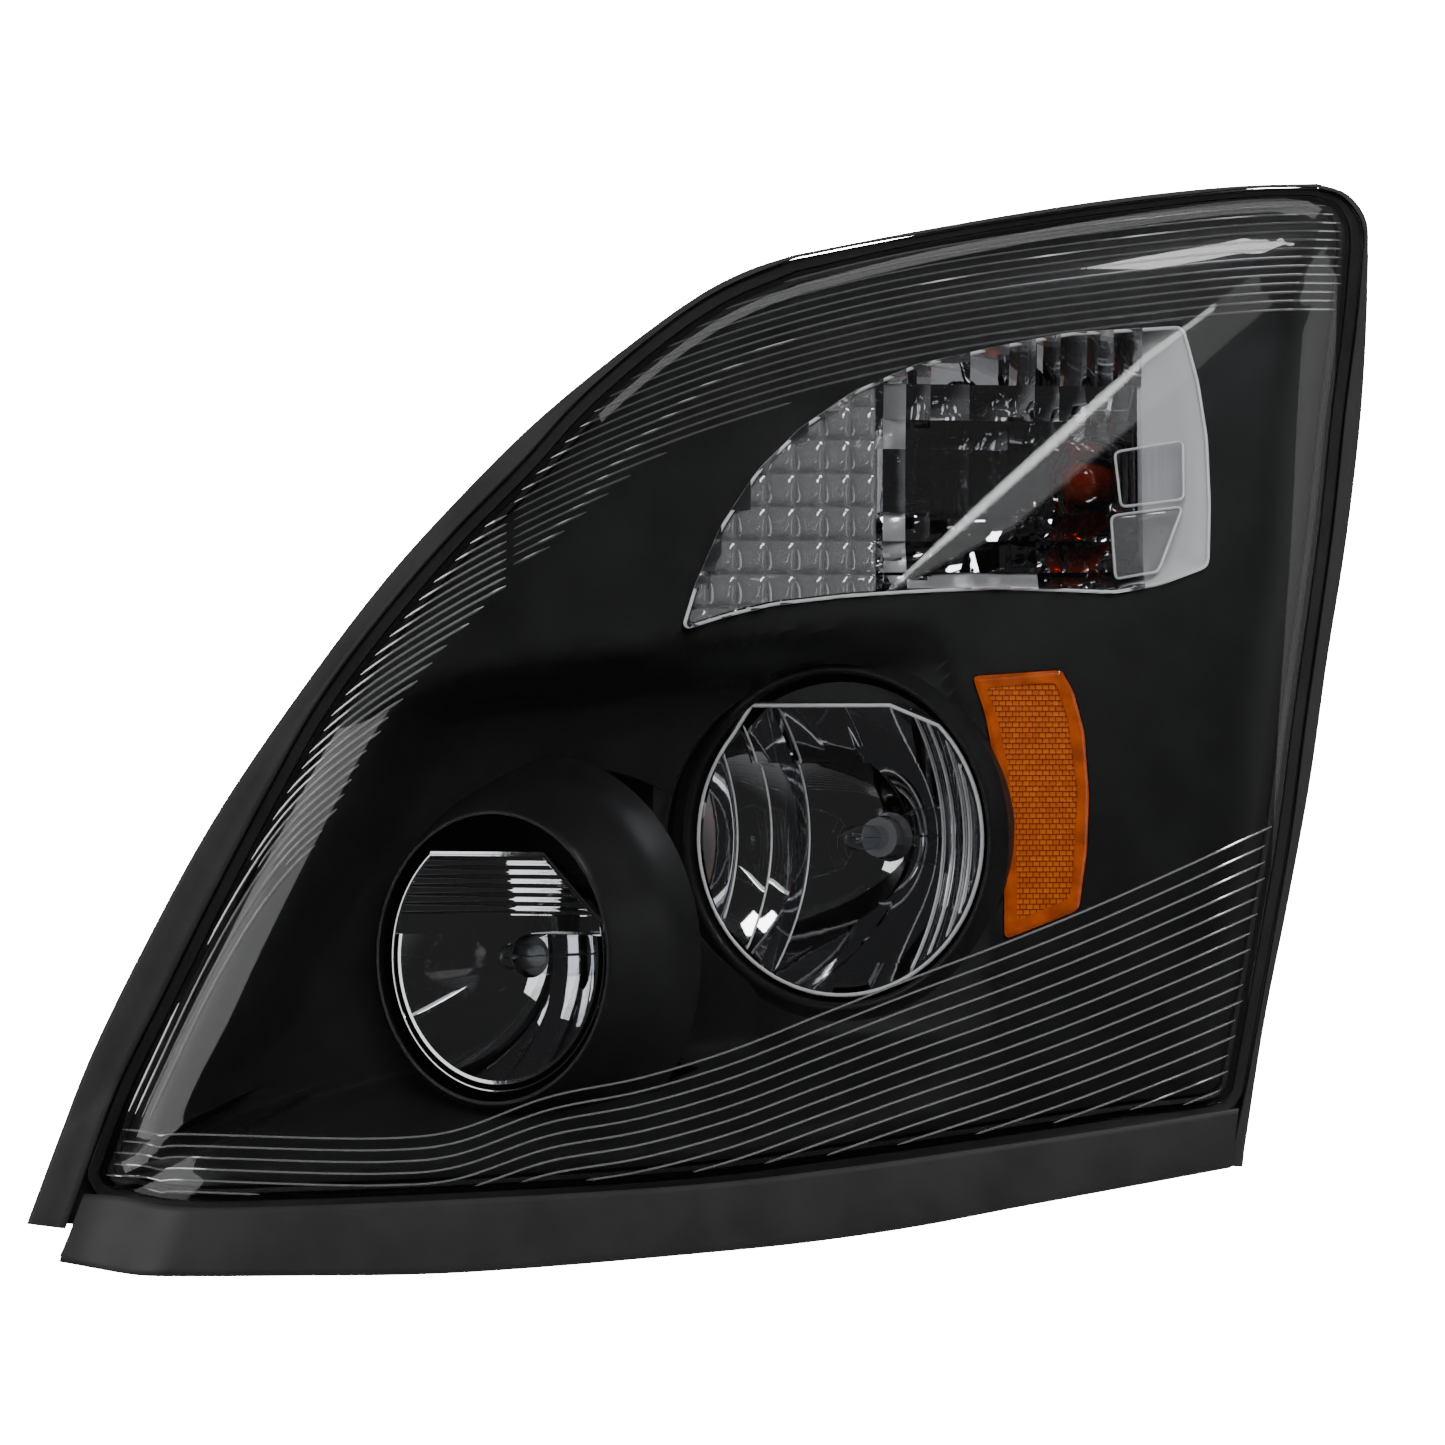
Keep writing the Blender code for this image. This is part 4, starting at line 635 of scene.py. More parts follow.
PAINT = {
    "black_housing": moulded("housing_plastic", (0.018, 0.018, 0.019), 0.5, 1400.0, 0.25),
    "black_bezel": moulded("bezel_plastic", (0.013, 0.013, 0.0135), 0.4, 900.0, 0.01, bump_distance=0.00003),
    "sealant": moulded("sealant", (0.012, 0.012, 0.012), 0.6, 400.0, 0.2),
    "black_rubber": moulded("rubber", (0.035, 0.035, 0.035), 0.66, 1500.0, 0.3, bump_distance=0.0002),
    "black_trim": moulded("trim_plastic", (0.033, 0.033, 0.034), 0.5, 2600.0, 0.3, bump_distance=0.0001),
    "chrome": moulded("mirror_coat", (0.82, 0.82, 0.84), 0.035, 160.0, 0.03, metal=1.0, mottle=0.02),
    "amber": moulded("amber_plastic", (0.5, 0.08, 0.006), 0.14, 900.0, 0.03, mottle=0.25, coat=0.8,
                     cloud=90.0),
    "grey_plastic": moulded("grey_plastic", (0.2, 0.2, 0.21), 0.45, 1500.0, 0.15),
    "white_nylon": moulded("nylon", (0.7, 0.69, 0.64), 0.38, 900.0, 0.08),
    "zinc_steel": moulded("zinc_plate", (0.55, 0.54, 0.5), 0.28, 700.0, 0.12, metal=1.0, mottle=0.2),
    "orange_silicone": moulded("silicone", (0.62, 0.14, 0.03), 0.5, 600.0, 0.12),
}
PAINT["clear_lens"] = clear("lens_clear", (0.97, 0.975, 0.98), 0.035)
PAINT["clear_optic"] = clear("optic_clear", (0.9, 0.91, 0.92), 0.08, roughness=0.05)
PAINT["bulb_glass"] = clear("quartz_glass", (0.93, 0.95, 0.97), 0.08)
# Both flute finishes are clear with real gloss, plus an opaque white body that paints the ribs' glints as
# bright lines; the second, brighter copy paints the stronger glints of the left and lower flutes.
FLUTE_PAINTED_FAINT_GLINT = clear("flute_clear", (0.9, 0.9, 0.9), 0.4, roughness=0.1, body=0.12, body_colour=(0.85, 0.85, 0.86))
FLUTE_PAINTED_BRIGHT_GLINT = clear("flute_painted_bright_glint", (0.9, 0.9, 0.9), 0.6, roughness=0.12, body=0.45,
                     body_colour=(0.9, 0.9, 0.91))
PILLOW = clear("pillow_clear", (0.86, 0.87, 0.88), 0.2, roughness=0.1, body=0.42,
               body_colour=(0.4, 0.4, 0.41))
PLATE = clear("plate_clear", (0.97, 0.97, 0.975), 0.035)
# A pale, mostly non-metal satin coat standing in for chrome: it paints the bright reflection of the turn wall
# and the glints of the rim, edge and rib beads.
SHEEN_PAINTED_COAT = moulded("sheen_painted_coat", (0.92, 0.92, 0.93), 0.32, 500.0, 0.03, metal=0.25, mottle=0.03)
# A paler, less metallic copy of the chrome, which paints reflections onto chosen cells of the turn bowl.
GLINT_PAINTED_COAT = moulded("glint_painted_coat", (0.95, 0.95, 0.95), 0.2, 500.0, 0.03, metal=0.6, mottle=0.03)
FROSTED = clear("block_clear", (0.8, 0.81, 0.82), 0.12, roughness=0.12, body=0.3, body_colour=(0.5, 0.5, 0.5))
BULB_AMBER = clear("bulb_amber", (0.95, 0.16, 0.02), 0.1, roughness=0.03, body=0.22,
                   body_colour=(0.7, 0.06, 0.01))
REFLEX_PAINT = moulded("reflex_amber", (1.0, 1.0, 1.0), 0.16, 600.0, 0.02, coat=0.8, cloud=70.0,
                       pattern=reflex_net)


# Shell ----------------------------------------------------------------------------------------


def ring(inset, depth, share=1.0):
    """The outline drawn in by inset, then towards the centre by share, with each sample's depth in Y."""
    made = []
    for i in range(len(EDGE.points)):
        p = EDGE.scaled(i, inset, share)
        made.append(Vector((p.x, depth(i, p), p.y)))
    return made


def behind_edge(distance):
    return lambda i, p: EDGE.edge_y(i) + distance


def back_y(x):
    return BACK_WALL + 0.0012 * max(0.0, x - 140.0) ** 2


def make_lens():
    middles = [0.04 + 0.92 * k / 11 for k in range(12)]
    insets = [35.0, 31.0, 27.0, 23.5, 20.0, 17.0, 14.0, 11.5, 9.0, 7.0, 5.0, 3.6]

    def skin(behind, last):
        def depth(inset):
            return lambda i, p: lens_depth(p.x, p.y) + EDGE.roll(i, inset) + behind

        made = [ring(SHOULDER, depth(SHOULDER), share) for share in middles]
        return made + [ring(inset, depth(inset)) for inset in insets + last]

    outer = skin(0.0, [2.2, 1.2, 0.4])
    outer += [ring(0.0, behind_edge(0.7)), ring(0.0, behind_edge(SKIRT_DEPTH))]
    inner = skin(LENS_WALL, [LENS_WALL]) + [ring(LENS_WALL, behind_edge(SKIRT_DEPTH))]
    piece("lens_shell", loft(outer + inner[::-1]), PAINT["clear_lens"], ["front_lens"])

    corners = [(0.0, SKIRT_DEPTH + GAP), (0.0, CHANNEL_FLOOR - GAP),
               (LENS_WALL, CHANNEL_FLOOR - GAP), (LENS_WALL, SKIRT_DEPTH + GAP)]
    rings = [ring(inset, behind_edge(depth)) for inset, depth in corners]
    piece("lens_seal", loft(rings, closed_ends=False), PAINT["sealant"], ["lens_seal_bead"])


def lens_normal(x, z):
    step = 0.5
    dx = (EDGE.lens_y(x + step, z) - EDGE.lens_y(x - step, z)) / (2 * step)
    dz = (EDGE.lens_y(x, z + step) - EDGE.lens_y(x, z - step)) / (2 * step)
    return Vector((dx, -1.0, dz)).normalized()


def add_flutes(bm, line, inside, half_width, half_height):
    """Beads on the inside of the lens along the parts of a line in XZ that lie inside a region."""
    run = []
    for x, z in list(line) + [(None, None)]:
        if x is not None and inside(x, z):
            run.append((x, z))
            continue
        if len(run) > 3:
            points = [Vector((x, EDGE.lens_y(x, z) + LENS_WALL - FLUTE_SUNK, z)) for x, z in run]
            sweep(bm, points, [lens_normal(x, z) for x, z in run], half_width, half_height)
        run = []


def make_flutes():
    inner = sorted((angle % math.tau, reach) for angle, reach in (polar(*p) for p in spline(BAND_INNER, 6.0)))
    angles, reaches = np.array(inner).T

    def in_band(x, z):
        angle, reach = polar(x, z)
        angle %= math.tau
        if not angles[0] <= angle <= angles[-1]:
            return False
        return EDGE.inset_at(x, z)[0] > FLUTE_INSET and reach > np.interp(angle, angles, reaches)

    xs = [318.0 - 3.5 * k for k in range(176)]
    fall = [0.0]
    for a, b in zip(xs, xs[1:]):
        fall.append(fall[-1] - table(BAND_SLOPE, 0.5 * (a + b)) * (a - b))
    upper, left = bmesh.new(), bmesh.new()
    for k in range(-24, 16):
        lowest = LONG_FLUTE_END if k % 2 == 0 else SHORT_FLUTE_END
        line = [(x, BAND_START + BAND_PITCH * k + drop) for x, drop in zip(xs, fall)]
        line = [(x, z) for x, z in line if z > lowest]
        add_flutes(upper, [p for p in line if p[0] > LEFT_FLUTES], in_band, 0.6, 0.5)
        add_flutes(left, [p for p in line if p[0] < LEFT_FLUTES + 2.0], in_band, 0.7, 0.6)
    # The upper flutes take the fainter painted glint, the left and lower flutes the brighter painted glint.
    piece("lens_flutes_upper", upper, FLUTE_PAINTED_FAINT_GLINT)
    piece("lens_flutes_left", left, FLUTE_PAINTED_BRIGHT_GLINT)

    lower = bmesh.new()
    top = spline(FAN_TOP, 4.0)
    for k in range(FAN_FLUTES):
        line = [(p.x, p.y - k * table(FAN_SPACING, p.x)) for p in top]
        add_flutes(lower, line, lambda x, z: EDGE.inset_at(x, z)[0] > FLUTE_INSET, 0.55, 0.5)
    piece("lens_flutes_lower", lower, FLUTE_PAINTED_BRIGHT_GLINT)


def make_housing():
    def wall(offset=0.0):
        return lambda i, p: back_y(p.x) + offset

    def flange(depth, back_off=FLANGE_BACK_OFF):
        made = []
        for i, p in enumerate(EDGE.outer):
            q = p - (p - CENTRE).normalized() * back_off
            made.append(Vector((q.x, EDGE.edge_y(i) + depth, q.y)))
        return made

    def rim(depth, slimmer=0.0):
        return [Vector((p.x, EDGE.edge_y(i) + depth, p.y))
                for i, p in enumerate(EDGE.moved(i, width - slimmer) for i, width in enumerate(EDGE.rims))]

    floor = CHANNEL_FLOOR + HOUSING_WALL
    rings = [ring(14.0, wall(), share) for share in (0.05, 0.25, 0.5, 0.75)]
    rings += [ring(20.0, wall()), ring(16.5, wall(-0.5)), ring(14.8, wall(-1.8)), ring(13.9, wall(-4.5)),
              ring(8.4, behind_edge(floor)), flange(15.0), flange(14.6, FLANGE_BACK_OFF - 0.3),
              flange(FLANGE_FACE), rim(FLANGE_FACE), rim(CHANNEL_FRONT + 0.6), rim(CHANNEL_FRONT, 0.6)]
    for inset, depth in ((-GAP, CHANNEL_FRONT), (-GAP, CHANNEL_FLOOR), (3.4, CHANNEL_FLOOR),
                         (3.4, 8.0), (5.4, 8.0), (5.4, floor)):
        rings.append(ring(inset, behind_edge(depth)))
    rings += [ring(17.0, wall(-HOUSING_WALL))]
    rings += [ring(17.0, wall(-HOUSING_WALL), share) for share in (0.75, 0.5, 0.25, 0.05)]
    housing = raw("housing_shell", loft(rings))
    steps = []
    for rim_at, outer, inner, seat in ((LOW_RIM, 35.0, 32.0, CAP_SEAT), (HIGH_RIM, 35.0, 32.0, CAP_SEAT),
                                       (TURN_VERTEX, 19.0, 16.0, TURN_SEAT)):
        end = (seat - rim_at.y) / REARWARD.y - SEAL_SPACE
        steps.append((helper(collar(rim_at, outer, end)), "UNION"))
        steps.append((rod(inner, end - 70.0, end + 10.0, rim_at, sides=48), "DIFFERENCE"))
    for name, (x, z) in PADS.items():
        start = back_y(x) - 1.5
        wide, narrow = (16.0, 16.0) if name == "rear_pad" else (14.0, 12.0)
        leg = turned([(0, start), (wide, start), (narrow, -0.8), (narrow - 0.8, 0.0), (0, 0.0)],
                     (x, 0.0, z), REAR, 32)
        steps.append((helper(leg), "UNION"))
        if name != "rear_pad":
            steps.append((rod(4.3, -18.0, 5.0, (x, 0.0, z), REAR, 24), "DIFFERENCE"))
    for x, z in BOSSES:
        steps.append((rod(6.5, back_y(x) - 1.5, back_y(x) + 4.0, (x, 0.0, z), REAR, 20), "UNION"))
    holes = [(11.4, VERTICAL_BALL), (11.4, HORIZONTAL_BALL), (4.0, PIVOT), (5.4, VENT)]
    holes += [(2.4, Vector((x, 0.0, z))) for x, z in BOSSES]
    for radius, at in holes:
        steps.append((rod(radius, -80.0, -30.0, (at.x, 0.0, at.z), REAR, 32), "DIFFERENCE"))
    half = Vector((CONNECTOR_HALF.x + GAP, 0.0, CONNECTOR_HALF.z + GAP))
    box = [(-half.x, -half.z), (half.x, -half.z), (half.x, half.z), (-half.x, half.z)]
    steps.append((helper(prism([(CONNECTOR.x + a, CONNECTOR.z + b) for a, b in box], -80.0, -40.0)),
                  "DIFFERENCE"))
    combined(housing, steps)
    show(housing, PAINT["black_housing"], ["rear_housing"])


def collar(rim_at, radius, end):
    """A tube from a square end on the lamp's axis to the rear wall."""
    rings = [[], [], []]
    for k in range(48):
        angle = math.tau * k / 48
        spoke = SIDEWAYS * math.cos(angle) + UP * math.sin(angle)
        reach = (BACK_WALL - 1.5 - rim_at.y - spoke.y * radius) / REARWARD.y
        rings[0].append(rim_at + REARWARD * end + spoke * (radius - 0.6))
        rings[1].append(rim_at + REARWARD * (end - 0.6) + spoke * radius)
        rings[2].append(rim_at + REARWARD * reach + spoke * radius)
    return loft(rings)


def make_gasket():
    profile = [(0.0, GASKET_BACK), (0.0, 4.4), (0.03, 3.5), (0.09, GASKET_FRONT), (0.17, 3.1), (0.24, 3.7),
               (0.5, 3.9), (0.86, 4.5), (0.95, 5.1), (1.0, 6.2), (1.0, GASKET_BACK)]
    last = EDGE.bottom_start
    pairs = [(Vector(GASKET_LOW_END[0]), Vector(GASKET_LOW_END[1]), 0)]
    for i in range(6, last):
        pairs.append((EDGE.moved(i, EDGE.rims[i] + 2 * GAP), EDGE.outer[i], i))
    pairs.append((Vector(GASKET_HIGH_END[0]), Vector(GASKET_HIGH_END[1]), last))
    sections = []
    for k, (inner, outer, i) in enumerate(pairs):
        lift = GASKET_END_LIFT * max(0.0, 1.0 - k / 3.0)
        base = EDGE.edge_y(i) - lift
        sections.append([Vector((p.x, base + depth, p.y)) for p, depth in
                         ((inner.lerp(outer, t), depth) for t, depth in profile)])
    piece("gasket_strip", loft(sections), PAINT["black_rubber"], ["perimeter_gasket"])


def trim_face_y(x, z):
    return lens_depth(x, z) + 2.0 + 17.0 * smoothstep(-245.0, -292.0, x) - TRIM_WALL - 0.5 * GAP


def make_trim():
    count = 140
    sections = []
    for top, bottom in zip(spline(TRIM_TOP, 0, count), spline(TRIM_BOTTOM, 0, count)):
        face = trim_face_y(top.x, top.y)
        across = (bottom - top).normalized()
        section = [(top, TRIM_WALL), (top, 1.5), (top + across * 0.5, 0.9), (top + across * 2.2, 0.15),
                   (top + across * 3.0, 0.0), (top.lerp(bottom, 0.5), -0.1), (bottom - across * 4.0, 0.0),
                   (bottom - across * 1.6, 0.5), (bottom - across * 0.5, 1.5), (bottom, 3.2),
                   (bottom, TRIM_RETURN), (bottom + Vector((0.0, TRIM_WALL)), TRIM_RETURN),
                   (bottom + Vector((0.0, TRIM_WALL)), 4.6), (bottom - across * 4.6, TRIM_WALL)]
        sections.append([Vector((p.x, face + depth, p.y)) for p, depth in section])
    piece("trim_cover", loft(sections), PAINT["black_trim"], ["lower_trim_bar"])


# Bezel ----------------------------------------------------------------------------------------


def valley_y(x):
    return min(VALLEY_DEEPEST, LOW_RIM.y - math.tan(SWEEP) * (x - LOW_RIM.x))


def bezel_y(x, z, inset=VALLEY_RISE[1], roll=0.0):
    near = lens_depth(x, z) + BEZEL_BEHIND_LENS + roll
    ledge = LEDGE_Z + LEDGE_CLIMB * x
    share = smoothstep(*VALLEY_RISE, inset) * (1.0 - smoothstep(*LEDGE_BLEND, z - ledge))
    return near + share * max(0.0, valley_y(x) - near)


def make_bezel():
    turn_in = 36.0
    insets = [7.0, 8.0, 10.0, 13.0, 16.0, 19.0, 22.0, 25.0, 28.0, 31.0, 34.0, turn_in]
    shares = [0.985 - 0.93 * k / 55 for k in range(56)]

    def skin(behind):
        def near_edge(inset):
            return lambda i, p: bezel_y(p.x, p.y, inset, EDGE.roll(i, inset)) + behind

        def inside(i, p):
            return bezel_y(p.x, p.y, max(turn_in, EDGE.inset_at(p.x, p.y)[0])) + behind

        made = [ring(inset, near_edge(inset)) for inset in insets]
        return made + [ring(turn_in, inside, share) for share in shares]

    bezel = raw("bezel_shell", loft(skin(0.0)[::-1] + skin(BEZEL_WALL)))
    cutters = (rod(LOW_OPENING, -70.0, 36.0, LOW_RIM, sides=96),
               outline_cutter(TURN_OUTLINE, 0.8, -215.0, -90.0),
               outline_cutter(REFLEX_OUTLINE, 0.5, -215.0, -110.0),
               helper(loft(hood_rings([(1.0, -10.0), (1.0, 75.0)]))))
    combined(bezel, [(cutter, "DIFFERENCE") for cutter in cutters])
    show(bezel, PAINT["black_bezel"], ["inner_bezel"])

    lip = [(79.0, 8.0), (79.0, -0.6), (79.3, -2.0), (80.1, -2.9), (81.2, -3.3), (82.4, -3.1), (84.0, -2.0),
           (86.5, -0.6), (89.5, 0.5), (89.5, 8.0)]
    piece("low_beam_ring", turned(lip, LOW_RIM, sides=120), PAINT["black_bezel"])
    profile = [(0.0, 52.0), (0.0, 30.0), (0.0, 10.0), (0.0, 0.6), (0.5, 0.0), (1.9, 0.0)]
    profile += [(HOOD_WALL, t) for t in (0.8, 3.0, 8.0, 14.0, 20.0, 26.0, 32.0, 38.0, 42.0, 46.0, 50.0)]
    piece("high_beam_hood", loft(hood_rings(profile), closed_ends=False), PAINT["black_bezel"])


def hood_rings(profile, sides=96):
    """Rings round the hood's cone, from (distance outside it, distance back from its front) points."""
    rings = []
    for outside, t in profile:
        spread = 6.0 * max(0.0, (t - 34.0) / 16.0) ** 2 if outside == HOOD_WALL else 0.0
        radius = HOOD_RADIUS + HOOD_FLARE * t + outside + spread
        angles = [math.tau * k / sides for k in range(sides)]
        around = [(math.cos(angle) * HIGH_SQUEEZE * radius, math.sin(angle) * radius) for angle in angles]
        rings.append([lamp_point(HIGH_RIM, across, up, t) for across, up in around])
    return rings


def edge_distance(outline, x, z):
    """How far a point lies inside a closed outline."""
    best = 1e9
    for (ax, az), (bx, bz) in zip(outline, outline[1:] + outline[:1]):
        dx, dz = bx - ax, bz - az
        t = max(0.0, min(1.0, ((x - ax) * dx + (z - az) * dz) / (dx * dx + dz * dz)))
        best = min(best, math.hypot(x - ax - t * dx, z - az - t * dz))
    return best


def make_reflex():
    def field(x, z):
        n = round(z / REFLEX_ROW)
        across = (x / REFLEX_PITCH + 0.5 * (n % 2)) % 1.0 - 0.5
        up = z / REFLEX_ROW - n
        return bezel_y(x, z) - 1.4 - 0.7 * (1.0 - 4.0 * across * across) * (1.0 - 3.0 * up * up)

    def border(x, z):
        inside = edge_distance(REFLEX_OUTLINE, x, z)
        return bezel_y(x, z) - 2.4 + 1.2 * smoothstep(1.8, 0.0, inside)

    def cutter(outline):
        return helper(prism(rounded(outline, 3.0, 0.12), -215.0, -90.0))

    xs = [126.0 + 0.8 * k for k in range(75)]
    zs = [-106.0 + 0.8 * k for k in range(166)]
    frame_cuts = [(cutter(REFLEX_OUTLINE), "INTERSECT"), (cutter(REFLEX_WINDOW), "DIFFERENCE")]
    for name, front, cuts, paint, stands_for in (
            ("reflex_frame", border, frame_cuts, PAINT["amber"], ["reflex_reflector"]),
            ("reflex_field", field, [(cutter(REFLEX_WINDOW), "INTERSECT")], REFLEX_PAINT, [])):
        part = raw(name, slab(xs, zs, front, 5.0), 60.0)
        combined(part, cuts, 60.0)
        show(part, paint, stands_for)


# Turn signal ----------------------------------------------------------------------------------

TURN_MIDDLE = Vector((TURN_VERTEX.x, TURN_VERTEX.z))
# The bowl's cells lie between these borders in Z and in X
TURN_BANDS = [40.0, 64.0, 72.0, 87.5, 101.5, 132.0, 146.0, 163.0, 195.0]
TURN_COLUMNS = [-14.0, 8.0, 22.0, 36.0, 50.0, 64.0, 78.0, 86.0, 97.0, 109.0, 128.0, 147.0, 160.0, 172.0,
                185.0, 198.0, 212.0, 246.0]
# X of the outboard edge at each Z
TURN_EDGE = [(66, 219), (75, 243), (106, 244), (137, 243), (165, 239), (192, 232)]
TURN_DEPTHS = (-230.0, -60.0)
COVER_END = 212.0
PILLOW_END = 82.0
PLATE_SHARP = 40.0
# The cells (column, band) whose front faces take a pale satin coat: a painted reflection of the light they
# catch
GLINT_PAINTED_CELLS = {(7, 2), (7, 3), (7, 5), (7, 6), (8, 1), (9, 1), (10, 1), (11, 1)}
DRAWS = random.Random(11)
FACETS = {(i, j): (DRAWS.uniform(-1, 1), DRAWS.uniform(-1, 1))
          for i in range(len(TURN_COLUMNS)) for j in range(len(TURN_BANDS))}


def rim_rays():
    """The angle, distance and depth of points along the turn signal's rim, seen from its middle."""
    rays = []
    for a, b in zip(TURN_OUTLINE, TURN_OUTLINE[1:] + TURN_OUTLINE[:1]):
        for k in range(8):
            p = Vector(a).lerp(Vector(b), k / 8)
            rays.append((*polar(p.x, p.y, TURN_MIDDLE), bezel_y(p.x, p.y) - 1.0))
    return round_the_circle(rays)


RIM_ANGLES, RIM_REACHES, RIM_FRONTS = rim_rays()


def turn_y(x, z):
    """The turn bowl's smooth mirror, from its vertex to its rim on the same ray."""
    angle, distance = polar(x, z, TURN_MIDDLE)
    front = np.interp(angle, RIM_ANGLES, RIM_FRONTS)
    share = min(1.06, distance / np.interp(angle, RIM_ANGLES, RIM_REACHES))
    return float(TURN_VERTEX.y + (front - TURN_VERTEX.y) * share**1.6)


def turn_wall_y(x, z):
    """The plain wall between the cover plate and the outboard end of the turn signal, whose pale coat paints
    the bright reflection of its chrome.
    """
    edge = table(TURN_EDGE, z)
    return bezel_y(edge, z) - 1.0 + (edge - x) * 0.55


def turn_facets(x, z):
    """The bowl's cells, each tilted at random and bulging forwards, and level with the wall beyond them."""
    if x > COVER_END:
        return max(turn_y(x, z), turn_wall_y(x, z)) + 3.0
    i, u = in_cell(TURN_COLUMNS, x)
    j, v = in_cell(TURN_BANDS, z)
    tilt_x, tilt_z = FACETS[i, j]
    middle_x = 0.5 * (TURN_COLUMNS[i] + TURN_COLUMNS[i + 1])
    hollow = smoothstep(14.0, 24.0, polar(x, z, TURN_MIDDLE)[1])
    bump = 0.8 * (1.0 - u * u) + 1.3 * (1.0 - v * v)
    shelf = 1.6 * v + 1.7 * tilt_x * u + 1.5 * tilt_z * v
    soft = 0.5 * turn_y(x, z) + 0.5 * turn_y(middle_x, z)
    return soft + hollow * (shelf - bump)


def make_turn_signal():
    xs, zs = grid_lines(TURN_COLUMNS, 1.9), grid_lines(TURN_BANDS, 1.9)
    bowl = raw("turn_bowl", slab(xs, zs, turn_facets, 2.4), BOWL_SHARP)
    combined(bowl, [(outline_cutter(TURN_OUTLINE, 0.3, *TURN_DEPTHS), "INTERSECT"),
                    (rod(TURN_GLASS + 2.5, -60.0, 60.0, TURN_VERTEX, sides=48), "DIFFERENCE")],
             BOWL_SHARP)
    show(bowl, PAINT["chrome"], ["turn_reflector"])
    # Front faces of the chosen cells get the pale coat, a painted reflection in place of the chrome's own.
    bowl.data.materials.append(GLINT_PAINTED_COAT)
    for face in bowl.data.polygons:
        at = face.center / MM
        cell = in_cell(TURN_COLUMNS, at.x)[0], in_cell(TURN_BANDS, at.z)[0]
        if abs(face.normal.y) > 0.3 and cell in GLINT_PAINTED_CELLS:
            face.material_index = 1
    xs, zs = [210.0 + 1.5 * k for k in range(26)], [56.0 + 3.0 * k for k in range(48)]
    wall = raw("turn_wall", slab(xs, zs, turn_wall_y, 2.0))
    combined(wall, [(outline_cutter(TURN_OUTLINE, 0.3, *TURN_DEPTHS), "INTERSECT")])
    show(wall, SHEEN_PAINTED_COAT)
    rim = rounded(scaled_outline(TURN_OUTLINE, -0.4))
    bead("turn_rim", [Vector((p.x, bezel_y(p.x, p.y) - 0.7, p.y)) for p in rim], 0.9)

    columns = [-12.0, 1.5, 15.0, 29.5, 43.3, 57.0, 69.7, PILLOW_END]
    rows = [22.1 + 16.2 * k for k in range(12)]

    def cover(x, z):
        base = lens_depth(x, z) + BEZEL_BEHIND_LENS - 0.5
        if x > PILLOW_END:
            return base
        _, u = in_cell(columns, x)
        _, v = in_cell(rows, z)
        return base + 1.4 - 4.2 * (1.0 - u**4) * (1.0 - v**4) * (0.75 - 0.25 * v)

    corner = TURN_OUTLINE.index((176, 188)) + 1
    border = TURN_OUTLINE[:corner] + [(203, 188.5), (209, 186), (212, 180), (212.6, 150), (213, 66)]
    border += [p for p in TURN_OUTLINE[corner:] if p[0] < 205]
    for name, us, paint, stands_for in (
            ("pillow_lens", grid_lines(columns, 1.6), PILLOW, ["pillow_optic"]),
            ("cover_plate", [PILLOW_END + 4.0 * k for k in range(35)], PLATE, [])):
        plate = raw(name, slab(us, grid_lines(rows, 1.6), cover, 2.6), PLATE_SHARP)
        combined(plate, [(outline_cutter(border, -2.0, -230.0, -90.0), "INTERSECT")], PLATE_SHARP)
        show(plate, paint, stands_for)


def make_side_optics():
    def ribs(x, z):
        base = bezel_y(x, z) + 4.0
        if x < 222.0:
            return base + 1.6 * abs(((x - 197.0) / 3.6) % 1.0 - 0.5)
        return base

    def plain(x, z):
        inside = edge_distance(SIDE_BLOCK, x, z)
        return bezel_y(x, z) + 4.0 + 1.4 * smoothstep(2.2, 0.0, inside)

    for name, outline, front, stands_for, paint in (
            ("ribbed_wedge", SIDE_PRISM, ribs, "side_prism", PAINT["clear_optic"]),
            ("light_block", SIDE_BLOCK, plain, "side_block", FROSTED)):
        xs = [p[0] for p in outline]
        zs = [p[1] for p in outline]
        us = [min(xs) - 1.0 + 0.9 * k for k in range(int((max(xs) - min(xs) + 2.0) / 0.9) + 1)]
        vs = [min(zs) - 1.0 + 2.0 * k for k in range(int((max(zs) - min(zs) + 2.0) / 2.0) + 2)]
        body = raw(name, slab(us, vs, front, 24.0), 30.0)
        combined(body, [(helper(prism(rounded(outline, 3.0, 0.1), *TURN_DEPTHS)), "INTERSECT")], 30.0)
        show(body, paint, [stands_for])
        edge = rounded(scaled_outline(outline, -0.7), 2.0, 0.1)
        bead(name + "_edge", [Vector((p.x, bezel_y(p.x, p.y) + 3.9, p.y)) for p in edge], 0.7)


def arc(radius, middle, first, last, count):
    """Points of a turned profile on an arc about a point of the axis, in degrees from the front."""
    return [(radius * math.sin(math.radians(first + (last - first) * k / count)),
             middle - radius * math.cos(math.radians(first + (last - first) * k / count)))
            for k in range(count + 1)]


def make_filament(name, at, leads, thickness, coil, wire, body):
    """Two lead wires through (sideways, distance) points on both sides, and the coil between them."""
    bm = bmesh.new()
    for side in (-1.0, 1.0):
        lead = [lamp_point(at, side * s, 0.0, d) for s, d in leads]
        sweep(bm, lead, [UP] * len(lead), thickness, thickness)
    sweep(bm, [lamp_point(at, *p) for p in coil], [UP] * len(coil), wire, wire)
    piece(name, bm, PAINT["zinc_steel"], body=body)


